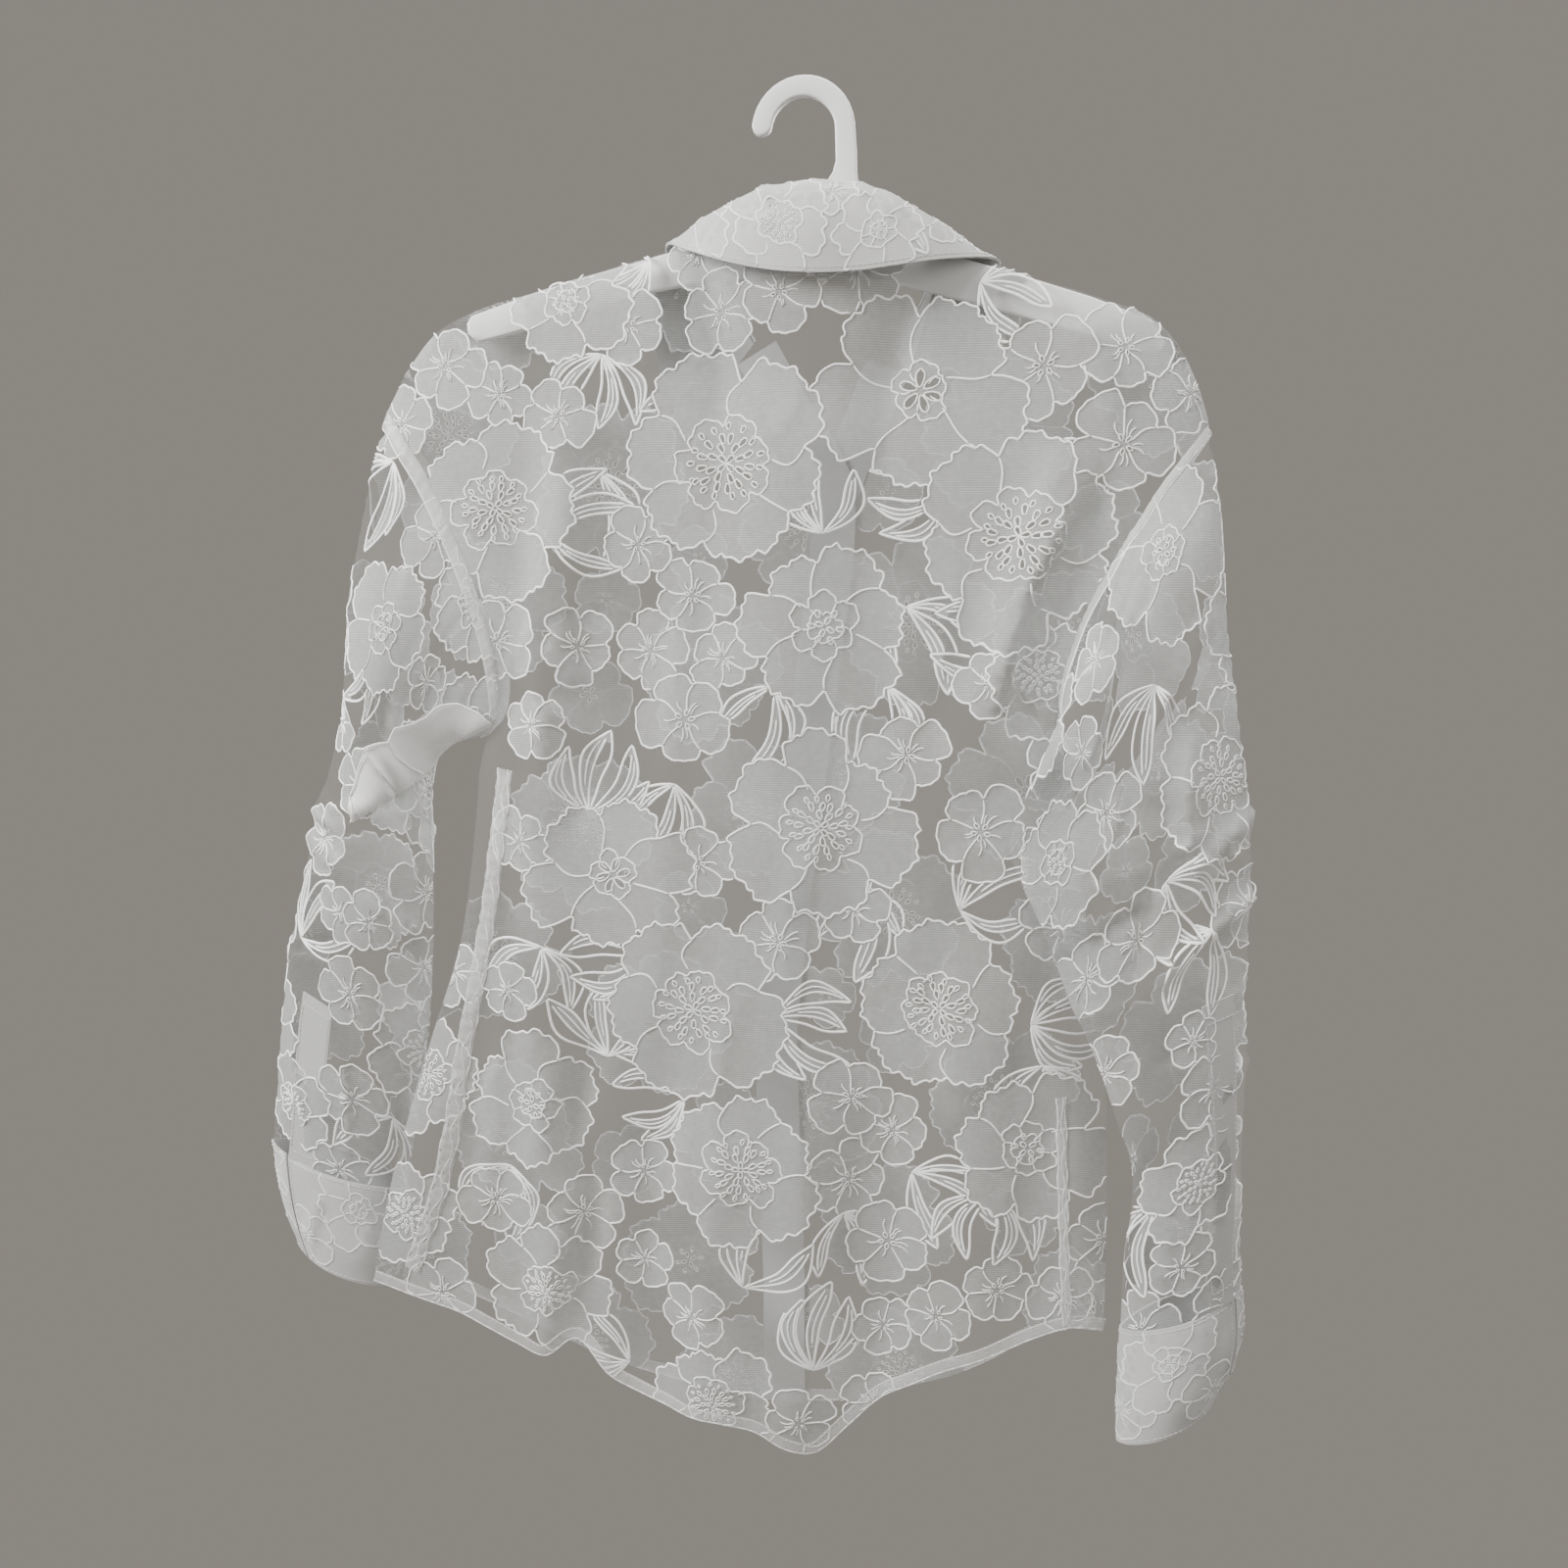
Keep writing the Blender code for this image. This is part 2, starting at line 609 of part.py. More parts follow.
def wall_object(surface, seam_normals, pull=SEAM_PULL):
    """Closed wall round a middle surface, its edges drawn back from the seam ribs."""
    own = surface.corner_normals()
    normals = np.zeros_like(own)
    for k, point in enumerate(surface.points):
        normals[k] = unit(seam_normals.get(key_of(point), own[k]))
    stretch = np.ones(len(own))
    for k in range(len(own)):
        cosine = normals[k].dot(unit(own[k]))
        stretch[k] = 1 / max(cosine, 0.7)
    shift = np.zeros_like(own)
    inward = {}
    for a, b in surface.boundary():
        along = unit(surface.points[b] - surface.points[a])
        for k in (a, b):
            side = np.cross(normals[k], along)
            inward.setdefault(k, []).append(unit(side))
    for k, sides in inward.items():
        if len(sides) >= 2 and sides[0].dot(sides[1]) < 0.95:
            mean = unit(sides[0] + sides[1])
            cosine = max(mean.dot(sides[0]), 0.5)
            shift[k] = mean * pull * CORNER_PULL / cosine
        else:
            shift[k] = sides[0] * pull
    middle = surface.points + shift
    half = surface.wall / 2
    outer = middle + normals * (half * stretch)[:, None]
    inner = middle - normals * (half * stretch)[:, None]
    count = len(middle)
    faces = [tuple(face) for face in surface.faces]
    faces += [tuple(k + count for k in reversed(face)) for face in surface.faces]
    faces += [(b, a, a + count, b + count) for a, b in surface.boundary()]
    return add_object(surface.name, np.vstack([outer, inner]), faces, surface.kind)


# Pieces laid on others

def band_surface(name, panel_edge, side, kind):
    """Button band: a strip beside the front edge, from the stand's end to the hem."""
    sign = 1 if side == "left" else -1
    rows = panel_edge[STAND_ROWS:]
    widths = [0, 0.5, 1.0]
    points = []
    for i, p in enumerate(rows):
        before = rows[max(i - 1, 0)]
        after = rows[min(i + 1, len(rows) - 1)]
        along = unit(np.array([after[0] - before[0], 0, after[2] - before[2]]))
        across = np.array([-along[2], 0.0, along[0]]) * sign
        for w in widths:
            points.append(p + across * BAND_WIDTH * w)
    faces = grid_faces(len(rows), len(widths), flip=side == "right")
    return Surface(name, points, faces, BAND_WALL, kind)


def neck_seam(back, front_l, front_r):
    """Neck edge points of the three panels, from the left stand end to the right one."""
    left = front_l[1:STAND_ROWS + 1, -1][::-1]
    nape = back[0, SHOULDER_CELLS:SHOULDER_CELLS + NECK_CELLS + 1]
    right = front_r[1:STAND_ROWS + 1, 0]
    return np.vstack([left, nape, right])


def collar_surfaces(seam):
    data = np.array([row[1:] for row in COLLAR], dtype=float)
    rise = data[:, 0:3]
    edge = data[:, 3:6]
    fold = seam + rise
    count = len(seam)
    stand_points = [seam[k] + rise[k] * w for w in (0.0, 0.5, 1.0) for k in range(count)]
    stand = Surface("collar_stand", stand_points, grid_faces(3, count), COLLAR_WALL, "collar")
    lift = COLLAR_WALL / 2 + FALL_GAP
    rows = 7
    points = []
    for r in range(rows):
        for k in range(count):
            up = unit(rise[k])
            out = edge[k] - fold[k]
            over = unit(out - up * out.dot(up))
            if r == 0:
                points.append(fold[k] + up * lift - over * 0.9)
                continue
            t = (r - 1) / (rows - 2)
            top = fold[k] + up * (lift + 0.6) + over * 1.8
            control = fold[k] + over * (4.5 + 0.3 * np.linalg.norm(out)) + up * 0.5
            points.append((1 - t) ** 2 * top + 2 * t * (1 - t) * control + t * t * edge[k])
    fall = Surface("collar_fall", points, grid_faces(rows, count, flip=True),
                   COLLAR_WALL, "collar")
    return stand, fall


def laid_on(name, grid, rows, cols, flip, kind):
    """Piece made from a block of a grid's points, moved out along the normals."""
    block = grid[rows[0]:rows[1] + 1, cols[0]:cols[1] + 1]
    piece = Surface(name, block, grid_faces(block.shape[0], block.shape[1], flip),
                    BAND_WALL, kind)
    lift = CLOTH / 2 + LAY_GAP + BAND_WALL / 2
    piece.points = piece.points + np.array([unit(n) * lift for n in piece.corner_normals()])
    return piece


# Buttons

def button(name, centre, normal):
    """Round button: a disc with a raised rim, its sewing holes left to the finish."""
    normal = unit(np.array(normal, dtype=float))
    side = unit(np.cross(normal, np.array([0.0, 0.0, 1.0])))
    up = np.cross(side, normal)
    profile = [(0.80, 0.0), (1.0, 0.25), (1.0, 0.8), (0.86, 1.0), (0.66, 0.86)]
    sides = 14
    verts = []
    for radius, height in profile:
        for k in range(sides):
            angle = 2 * math.pi * k / sides
            spoke = side * math.cos(angle) + up * math.sin(angle)
            verts.append(centre + spoke * BUTTON_RADIUS * radius
                         + normal * BUTTON_THICK * height)
    faces = [tuple(range(sides))]
    for ring in range(len(profile) - 1):
        for k in range(sides):
            n = (k + 1) % sides
            faces.append((ring * sides + n, ring * sides + k,
                          (ring + 1) * sides + k, (ring + 1) * sides + n))
    last = (len(profile) - 1) * sides
    faces.append(tuple(last + k for k in reversed(range(sides))))
    return add_object(name, verts, faces, "button")


# Hanger

def arc(centre, radius, start, end, steps):
    return [(centre[0] + radius * math.cos(math.radians(start + (end - start) * k / steps)),
             centre[1] + radius * math.sin(math.radians(start + (end - start) * k / steps)))
            for k in range(steps + 1)]


def hanger_outline():
    """Outline of the flat hanger in x and z, anticlockwise."""
    centre = (0.0, -HOOK_INNER_RADIUS)
    outer_radius = HOOK_INNER_RADIUS + HOOK_WIDTH
    middle_radius = HOOK_INNER_RADIUS + HOOK_WIDTH / 2
    tip_angle = 172.0
    tip = (centre[0] + middle_radius * math.cos(math.radians(tip_angle)),
           centre[1] + middle_radius * math.sin(math.radians(tip_angle)))
    outline = arc(centre, outer_radius, 8, tip_angle, 18)
    outline += arc(tip, HOOK_WIDTH / 2, tip_angle + 15, tip_angle + 165, 6)
    outline += arc(centre, HOOK_INNER_RADIUS, tip_angle, 8, 16)
    outline += [(19.2, -36), (17.5, -42), (13, -49), (6, -55), (-8, -64), (-30, -75), (-52, -81)]
    left = [p for p in SHOULDER_LEFT if -200 <= p[0] <= -62][::-1]
    outline += [(x, z - ARM_SINK) for x, z in left[1:]]
    outline += [(-200.5, -117.6), (-203.5, -122), (-203, -128), (-197, -133)]
    outline += [(-164, -125.5), (-120, -114), (-88, -106), (-50, -100), (5, -98), (60, -106)]
    outline += [(100, -117), (140, -128.5), (175, -139), (202, -148), (207, -145.5), (208.5, -141)]
    outline += [(206, -137), (200, -126 - 2 * ARM_SINK)]
    right = [p for p in SHOULDER_RIGHT if 80 < p[0] < 199]
    outline += [(x, z - ARM_SINK) for x, z in right]
    outline += [(74, -88.5), (54, -80), (40, -68), (33.5, -56), (31.5, -42), (31, -30)]
    return outline


def build_hanger():
    outline = hanger_outline()
    mesh = bmesh.new()
    half = HOOK_THICK / 2
    verts = [mesh.verts.new((x * MM, -half * MM, z * MM)) for x, z in outline]
    face = mesh.faces.new(verts)
    grown = bmesh.ops.extrude_face_region(mesh, geom=[face])
    moved = [v for v in grown["geom"] if isinstance(v, bmesh.types.BMVert)]
    bmesh.ops.translate(mesh, vec=(0, HOOK_THICK * MM, 0), verts=moved)
    bmesh.ops.recalc_face_normals(mesh, faces=mesh.faces[:])
    rims = [e for e in mesh.edges if len(e.link_faces) == 2
            and abs(e.link_faces[0].normal.y) > 0.9 or abs(e.link_faces[1].normal.y) > 0.9]
    rims = [e for e in rims if abs(e.link_faces[0].normal.y) + abs(e.link_faces[1].normal.y) < 1.2]
    bmesh.ops.bevel(mesh, geom=rims, offset=1.1 * MM, segments=1, affect="EDGES",
                    profile=0.5, clamp_overlap=True)
    data = bpy.data.meshes.new("hanger")
    mesh.to_mesh(data)
    mesh.free()
    data.materials.append(make_material("hanger", "plastic"))
    item = bpy.data.objects.new("hanger", data)
    bpy.context.scene.collection.objects.link(item)
    return item


def build():
    clear_scene()
    build_hanger()

    back = back_panel()
    front_l = front_panel("left")
    front_r = front_panel("right")
    rows, cols = back.shape[:2]
    pieces = [Surface("back", back, grid_faces(rows, cols, flip=True), CLOTH, "cloth")]
    for name, grid in (("front_left", front_l), ("front_right", front_r)):
        pieces.append(Surface(name, grid, grid_faces(*grid.shape[:2]), CLOTH, "cloth"))

    edges = {"left": (back[:, 0], front_l[:, 0]), "right": (back[:, -1], front_r[:, -1])}
    cuffs = {}
    laid = []
    for side in ("left", "right"):
        grid = sleeve_grid(side, *edges[side])
        shares = sleeve_shares()
        column = slit_column(side, shares)
        faces = tube_faces(grid.shape[0], grid.shape[1], column, SLIT_RING[side],
                           flip=side == "left")
        pieces.append(Surface("sleeve_" + side, grid, faces, CLOTH, "cloth"))

        cuff_rows = CUFF_LEFT if side == "left" else CUFF_RIGHT
        cuff = np.array([ring_points(row, shares) for row in cuff_rows])
        cuff = np.concatenate([grid[-1:], close_slit(cuff, column, 0)])
        faces = tube_faces(cuff.shape[0], cuff.shape[1], column, 0, flip=side == "left")
        pieces.append(Surface("cuff_" + side, cuff, faces, CUFF_WALL, "collar"))
        cuffs[side] = cuff
        laid.append(laid_on("sleeve_placket_" + side, grid,
                            (SLIT_RING[side] - 1, grid.shape[0] - 1),
                            (column + 1, column + 1 + PLACKET_CELLS), side == "left", "band"))

    stand, fall = collar_surfaces(neck_seam(back, front_l, front_r))
    pieces.append(stand)
    normals = shared_normals(pieces)
    for piece in pieces:
        wall_object(piece, normals)
    wall_object(fall, {})
    for piece in laid:
        wall_object(piece, {})

    for side in ("left", "right"):
        edge = (front_l[:, -1] if side == "left" else front_r[:, 0])
        wall_object(band_surface("placket_" + side, edge, side, "band"), {})

    centre = np.array(CENTRE_FRONT, dtype=float)
    face_y = FRONT_EDGE_Y["right"] + BAND_WALL / 2 + LAY_GAP
    for k in range(BUTTON_COUNT):
        z = BUTTON_TOP_Z - BUTTON_SPACING * k
        x = np.interp(-z, -centre[:, 1], centre[:, 0])
        button(f"button_{k + 1}", np.array([x, face_y, z]), (0, 1, 0))
    for side in ("left", "right"):
        cuff = cuffs[side]
        corner = cuff[2, -1]
        normal = np.cross(cuff[2, 0] - cuff[2, -2], cuff[3, -1] - cuff[1, -1])
        normal = unit(normal) * (1 if normal[1] > 0 else -1)
        button("button_cuff_" + side, corner + normal * (CUFF_WALL / 2 + 2 * LAY_GAP), normal)


build()
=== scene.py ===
import math

import bmesh
import bpy
import numpy as np
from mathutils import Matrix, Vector, geometry
from mathutils.bvhtree import BVHTree
from mathutils.kdtree import KDTree


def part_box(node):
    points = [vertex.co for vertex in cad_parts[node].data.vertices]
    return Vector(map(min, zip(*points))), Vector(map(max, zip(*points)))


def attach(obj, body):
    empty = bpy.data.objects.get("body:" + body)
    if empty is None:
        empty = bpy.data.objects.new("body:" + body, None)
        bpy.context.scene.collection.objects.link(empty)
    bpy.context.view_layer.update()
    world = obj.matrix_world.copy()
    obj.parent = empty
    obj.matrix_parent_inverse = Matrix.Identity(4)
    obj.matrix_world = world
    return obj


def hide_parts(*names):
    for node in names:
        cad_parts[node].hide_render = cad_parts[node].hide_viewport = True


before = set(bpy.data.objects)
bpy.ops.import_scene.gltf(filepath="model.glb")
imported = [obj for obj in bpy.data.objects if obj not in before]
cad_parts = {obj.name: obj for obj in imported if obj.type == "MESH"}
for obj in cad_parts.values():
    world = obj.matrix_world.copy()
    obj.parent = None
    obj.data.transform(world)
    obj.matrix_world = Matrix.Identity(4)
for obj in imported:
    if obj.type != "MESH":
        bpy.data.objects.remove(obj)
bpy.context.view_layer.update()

MM = 0.001
ROOT = "root"
SIDES = ("left", "right")

# Walls and clearances, mm
CLOTH = 1.2
COLLAR_WALL = 1.6
BAND_WALL = 1.2
LAY_GAP = 0.35
FALL_GAP = 0.6

# Hanger, mm, and the angles of the hook's two ends
HOOK_INNER_RADIUS = 18.5
HOOK_WIDTH = 11.5
HOOK_THICK = 5.0
HOOK_ROUND = 1.3
HOOK_FOOT = 8
HOOK_TIP = 172.0
ARM_SINK = 1.15

# Bands and buttons, mm
BAND_WIDTH = 27.0
PLACKET_CELLS = 3
BUTTON_RADIUS = 5.6
BUTTON_THICK = 2.2
BUTTON_COUNT = 6
BUTTON_SIDES = 40
HOLE_PLACE = 1.25
# Profile of a button: share of its radius, share of its thickness
BUTTON_PROFILE = [(0.80, 0.0), (0.97, 0.1), (1.0, 0.35), (1.0, 0.75), (0.96, 0.95), (0.88, 1.0),
                  (0.78, 0.93), (0.68, 0.84), (0.0, 0.84)]

# Finish of the lined pieces and the embroidery, mm
TRIM_FINISH = 1.3
PLACKET_FINISH = 0.9
SLEEVE_PLACKET_FINISH = 0.8
TRIM_LIFT = 0.12
TRIM_CORD_HEIGHT = 0.3
LIFT = 0.05
CORD_SHARE = 0.8
CORD_STEP = 1.8
EDGE_STEP = 3.0
SHEET_STEP = 7.0
SHEET_CLEAR = 2.4
STITCH_LENGTH = 2.2
STITCH_GAP = 0.9
STITCH_WIDTH = 0.4
# Section of a laid band: share of its width, share of its height
BAND_PROFILE = [(-0.5, 0.0), (-0.46, 1.0), (-0.2, 0.9), (0.1, 1.0), (0.46, 0.9), (0.5, 0.0)]

# Looks: colour, roughness, alpha, sheen, grain
LOOKS = {
    "ground": ((0.78, 0.79, 0.78), 0.5, 0.04, 0.2, 0.0),
    "petal": ((0.72, 0.735, 0.735), 0.66, 0.6, 0.2, 0.5),
    "cord": ((0.96, 0.97, 0.98), 0.4, 1.0, 0.25, 0.0),
    "trim": ((0.55, 0.555, 0.555), 0.55, 0.97, 0.25, 0.2),
    "trim_petal": ((0.63, 0.635, 0.635), 0.5, 1.0, 0.25, 0.25),
    "trim_cord": ((0.80, 0.81, 0.82), 0.42, 1.0, 0.2, 0.0),
    "hem": ((0.82, 0.83, 0.83), 0.4, 0.46, 0.35, 0.2),
    "fold": ((0.84, 0.845, 0.845), 0.5, 0.95, 0.35, 0.2),
    "plastic": ((0.72, 0.725, 0.73), 0.32, 1.0, 0.0, 0.0),
    "pearl": ((0.9, 0.89, 0.87), 0.2, 1.0, 0.0, 0.0),
    "thread": ((0.8, 0.8, 0.79), 0.6, 1.0, 0.0, 0.0),
    # hole: near-black discs on each button's face, painted shade standing in for its four holes, which are
    # not cut
    "hole": ((0.12, 0.12, 0.12), 0.8, 1.0, 0.0, 0.0),
}
SHINY = ("plastic", "pearl")
THREAD_SCALE = 230.0
MOTTLE_SCALE = 260.0

# Grid of the body panels
SHOULDER_CELLS = 8
NECK_CELLS = 8
ROW_FRACTIONS = [0, 0.0009, 0.007, 0.02, 0.05, 0.09, 0.14, 0.19, 0.24, 0.29, 0.33, 0.36]
ARMHOLE_FRACTIONS = [0, 0.02, 0.06, 0.12, 0.22, 0.33, 0.45, 0.57, 0.69, 0.81, 0.92, 1]
SKIRT_ROWS = 17
EDGE_REACH = 0.1
RIDGE_REACH = 0.12
NECK_FIRST_ROW = 0.004
EDGE_BEND = 1.6
RIDGE_FADE = 0.1
SHOULDER_FADE = 0.3
FOLD_FADE = 45
SLEEVE_SWELL = 0.62
REFINE = 4
CURVE_STEPS = 12

# Shoulder lines from armhole to neck: x, z
SHOULDER_LEFT = [(-256, -172), (-248, -158), (-236, -140), (-220, -124), (-204, -116),
                 (-164, -105), (-123, -94), (-102, -89), (-74, -82), (-62, -79)]
SHOULDER_RIGHT = [(235, -186), (229, -168), (219, -148), (210, -133), (200, -126),
                  (167, -114), (136, -104), (120, -99), (95, -91), (80, -87)]

# Armhole edges from shoulder to underarm: x, z, y. The left ones mirror each other in y
ARMHOLE_LEFT = [(-256, -172, 0), (-243, -190, 7), (-228, -212, 11), (-212, -243, 14), (-198, -277, 15),
                (-189, -308, 14), (-185, -335, 12), (-185, -352, 9), (-188, -364, 5), (-195, -371, 0)]
ARMHOLES = {
    ("left", "back"): [(x, z, -y) for x, z, y in ARMHOLE_LEFT],
    ("left", "front"): ARMHOLE_LEFT,
    ("right", "back"): [(235, -186, 0), (224, -200, -6), (211, -217, -9), (199, -236, -11),
                        (189, -255, -12), (176, -276, -12.5), (164, -306, -12),
                        (157, -335, -10), (156, -352, -8), (159, -367, -4.5),
                        (166, -376, 0)],
    ("right", "front"): [(235, -186, 0), (224, -203, 6), (211, -225, 9), (198, -256, 10),
                         (190, -292, 10), (187, -328, 10), (185, -348, 10),
                         (181, -366, 8), (175, -376, 4.5), (166, -376, 0)],
}

# Side edges from underarm to hem: x, z, y
SIDE_LEFT = [(-195, -371, 0), (-200, -388, -2), (-204, -434, -4), (-214, -504, -6),
             (-233, -565, -9), (-247, -612, -12), (-260, -657, -13), (-272, -708, -13),
             (-277, -735, -12)]
SIDE_RIGHT = [(166, -376, 0), (168, -400, 2), (174, -450, 3), (184, -520, 3),
              (193, -586, 0), (196, -650, -2), (197, -700, -3), (197, -738, -3)]

# Neck seam of the back from left to right: x, z, y
NECK_BACK = [(-62, -79, 0), (-47, -88, -12), (-20, -97, -18), (8, -100, -20),
             (36, -98, -18), (62, -93, -12), (80, -87, 0)]

# Hems from left to right: x, z
HEM_BACK = [(-277, -735), (-217, -753), (-170, -775), (-152, -778), (-141, -762),
            (-133, -772), (-112, -795), (-66, -808), (-27, -811), (-5, -822), (9, -833),
            (24, -826), (52, -795), (96, -769), (134, -750), (172, -733), (197, -738)]
HEM_FRONT = [(-277, -735), (-240, -746), (-190, -766), (-130, -790), (-70, -806),
             (-18, -814), (9, -814), (60, -803), (110, -783), (155, -757), (197, -738)]

# Centre of the closed front: x, z
CENTRE_FRONT = [(22, -205), (19, -255), (12, -320), (5, -385), (-6, -480), (-13, -560),
                (-10, -640), (-6, -726), (-5, -813)]
# Front edges of the open neck, from the neck point to the closed front: x, z, y
NECK_FRONT_LEFT = [(-62, -79, 0), (-59, -96, 9), (-54, -114, 13), (-46, -134, 15),
                   (-32, -160, 15), (-10, -196, 14), (6, -222, 14)]
NECK_FRONT_RIGHT = [(80, -87, 0), (78, -102, 9), (74, -120, 13), (68, -138, 15),
                    (60, -162, 16), (46, -196, 16), (34, -222, 16)]
STAND_ROWS = 5
FALL_ROWS = 7
CLOSED_FRONT_Z = -222
FRONT_EDGE_Y = {"left": 14.0, "right": 15.6}

# Depth of a panel from the middle plane against the distance below the shoulder line
DEPTH_BELOW = [0, 0.6, 5, 14, 40, 110, 300, 520, 760]
DEPTH = [0, 4.2, 7.2, 9.5, 12, 13, 14, 13, 12]

# Largest folds of the back: name, x and z of both ends, half width, rise towards the eye
BACK_FOLDS = [
    ("right diagonal crest", 158, -205, 98, -392, 15, 9),
    ("right diagonal valley", 178, -225, 130, -372, 15, -4),
    ("left long fold", -134, -170, -160, -440, 16, 8),
    ("left long valley", -165, -200, -186, -430, 13, -4),
    ("left low fold", -162, -470, -150, -770, 17, 9),
    ("left low valley", -132, -560, -134, -790, 10, -5),
    ("left side roll", -214, -430, -250, -720, 13, 6),
    ("neck hollow", -70, -160, 70, -165, 20, -3),
    ("left blade crease", -100, -165, -60, -158, 7, 3),
    ("waist roll", -60, -330, -90, -560, 22, 5),
    ("centre hem fold", 18, -560, 10, -830, 20, 7),
    ("centre hem valley", 52, -600, 60, -800, 18, -5),
    ("right hem fold", 108, -520, 120, -765, 20, 6),
    ("right side valley", 160, -585, 166, -735, 7, -4),
    ("left hem valley", -92, -600, -84, -806, 18, -5),
    ("left hem roll", -50, -620, -48, -812, 16, 5),
]
# Largest folds of the front: the same columns, rise away from the eye
FRONT_FOLDS = [
    ("left chest fold", -120, -180, -90, -420, 18, 6),
    ("left chest valley", -160, -230, -150, -420, 16, -4),
    ("left hem fold", -170, -520, -190, -755, 20, 7),
    ("left hem valley", -120, -560, -120, -790, 20, -5),
    ("left inner fold", -70, -560, -62, -805, 18, 6),
    ("right chest fold", 120, -200, 100, -430, 18, 6),
    ("right inner fold", 60, -520, 66, -800, 18, 6),
    ("right hem valley", 105, -560, 112, -780, 18, -5),
    ("right hem fold", 150, -500, 156, -755, 18, 6),
]

# How a sleeve leaves its armhole: directions at the shoulder and at the underarm (x, y, z),
# and the rings between the armhole and the first ring of its table
SLEEVE_START = {"left": ((-25, 0, -75), (-34, 1, -14)), "right": ((14, -5, -78), (38, -42, 4))}
START_RINGS = {"left": 2, "right": 3}
# Sleeve rings below the armhole. Outer and inner silhouette point (x, z, y), bow of the
# back and front half towards the body, and their half depths
SLEEVE_COLUMNS = ("ox", "oz", "oy", "ix", "iz", "iy", "bow_b", "bow_f", "dep_b", "dep_f")
RINGS_LEFT = [
    (-279, -254, 2, -227, -384, 4, 8, 7, 24, 21),
    (-287, -290, 3, -233, -393, 5, 3, 4, 26, 23),
    (-290, -325, 4, -236, -412, 5, 0, 0, 27, 24),
    (-294, -360, 5, -237, -436, 6, 0, 0, 27, 24),
    (-304, -394, 6, -237, -464, 7, 0, 0, 26, 24),
    (-315, -428, 8, -238, -494, 8, 0, 0, 25, 23),
    (-325, -462, 9, -240, -524, 10, 0, 0, 24, 22),
    (-334, -497, 10, -243, -552, 12, 0, 0, 23, 21),
    (-342, -532, 11, -247, -580, 14, 0, 0, 21, 20),
    (-348, -566, 12, -251, -607, 16, 0, 0, 20, 19),
    (-352, -600, 12, -257, -634, 17, 0, 0, 19, 18),
    (-354, -628, 12, -262, -660, 18, 0, 0, 19, 18),
    (-358, -652, 12, -266, -684, 19, 0, 0, 18, 17),
]
RINGS_RIGHT = [
    (243, -272, -18, 128, -428, -28, 8, -28, 20, 12),
    (246, -300, -20, 131, -440, -30, 6, -16, 18, 12),
    (250, -326, -22, 136, -452, -32, 3, -9, 16, 11),
    (254, -352, -24, 142, -464, -34, 0, -4, 15, 10),
    (258, -380, -26, 148, -477, -35, 0, 0, 14, 9),
    (262, -410, -26, 154, -491, -36, 0, 0, 14, 9),
    (264, -441, -26, 160, -506, -36, 0, 0, 15, 10),
    (265, -473, -26, 166, -522, -36, 0, 0, 16, 11),
    (266, -505, -26, 174, -537, -36, 0, 0, 17, 12),
    (267, -540, -26, 185, -562, -36, 0, 0, 18, 13),
    (268, -574, -26, 195, -590, -36, 0, 0, 18, 14),
    (268, -606, -26, 204, -616, -35, 0, 0, 18, 15),
    (269, -636, -26, 205, -643, -34, 0, 0, 18, 15),
    (270, -664, -26, 202, -672, -33, 0, 0, 18, 15),
    (272, -690, -26, 202, -717, -33, 0, 0, 17, 15),
]
# Cuff rings below the sleeve: the same columns
CUFF_LEFT = [
    (-357, -656, 12, -267, -690, 19, 0, 0, 19, 18),
    (-354, -680, 12, -268, -711, 19, 0, 0, 20, 19),
    (-348, -704, 12, -269, -733, 18, 0, 0, 20, 19),
    (-341, -724, 12, -270, -753, 18, 0, 0, 19, 18),
]
CUFF_RIGHT = [
    (273, -698, -26, 202, -725, -33, 0, 0, 18, 16),
    (274, -716, -26, 202, -746, -33, 0, 0, 19, 17),
    (270, -738, -26, 202, -768, -33, 0, 0, 19, 17),
    (261, -760, -26, 203, -789, -33, 0, 0, 17, 16),
]
# Place of the slit on the back half of a sleeve, as a share of the way from the outer
# to the inner point, and the ring where it starts
SLIT_SHARE = {"left": 0.20, "right": 0.13}
SLIT_RING = {"left": 12, "right": 13}
SLIT_HALF = 0.9

# Collar stations, one for each point of the neck seam: name, rise of the stand dx dy dz,
# lower edge of the fall x y z
COLLAR = [
    ("left point", 9, 3, 13, -78, 30, -178),
    ("left front", 6, 4, 13, -92, 28, -142),
    ("left bend", 1, 4, 10, -94, 21, -112),
    ("left roll", -2, 2, 8, -88, 13, -93),
    ("left over", -3, 1, 7, -83, 8, -84),
    ("left shoulder", -3, 0, 6, -80, 0, -78.5),
    ("left nape", -1, 0, 17, -67, -16, -87),
    ("left back", 0, 1, 31, -44, -26, -97),
    ("left of middle", 0, 2, 40, -18, -31, -104),
    ("middle back", 0, 2, 44, 8, -33, -107),
    ("right of middle", 0, 2, 41, 33, -32, -106.5),
    ("right back", 1, 1, 33, 58, -29, -103),
    ("right nape", 2, 0, 20, 84, -21, -98),
    ("right shoulder", 5, 0, 8, 112, 0, -92),
    ("right over", 5, 1, 8, 115, 8, -96),
    ("right roll", 4, 2, 8.5, 118, 14, -104),
    ("right bend", 2, 3.5, 10, 121, 22, -120),
    ("right front", -2, 4, 12, 115, 28, -148),
    ("right point", -8, 3, 13, 100, 30, -182),
]

# Flowers: depth of the notches, share and petals of the inner ring, start of its veins
LARGE_FLOWERS = {"anemone": (0.16, 0.47, 7, 0.34), "peony": (0.2, 0.38, 6, 0.14),
                 "wild": (0.24, 0.28, 5, 0.1)}
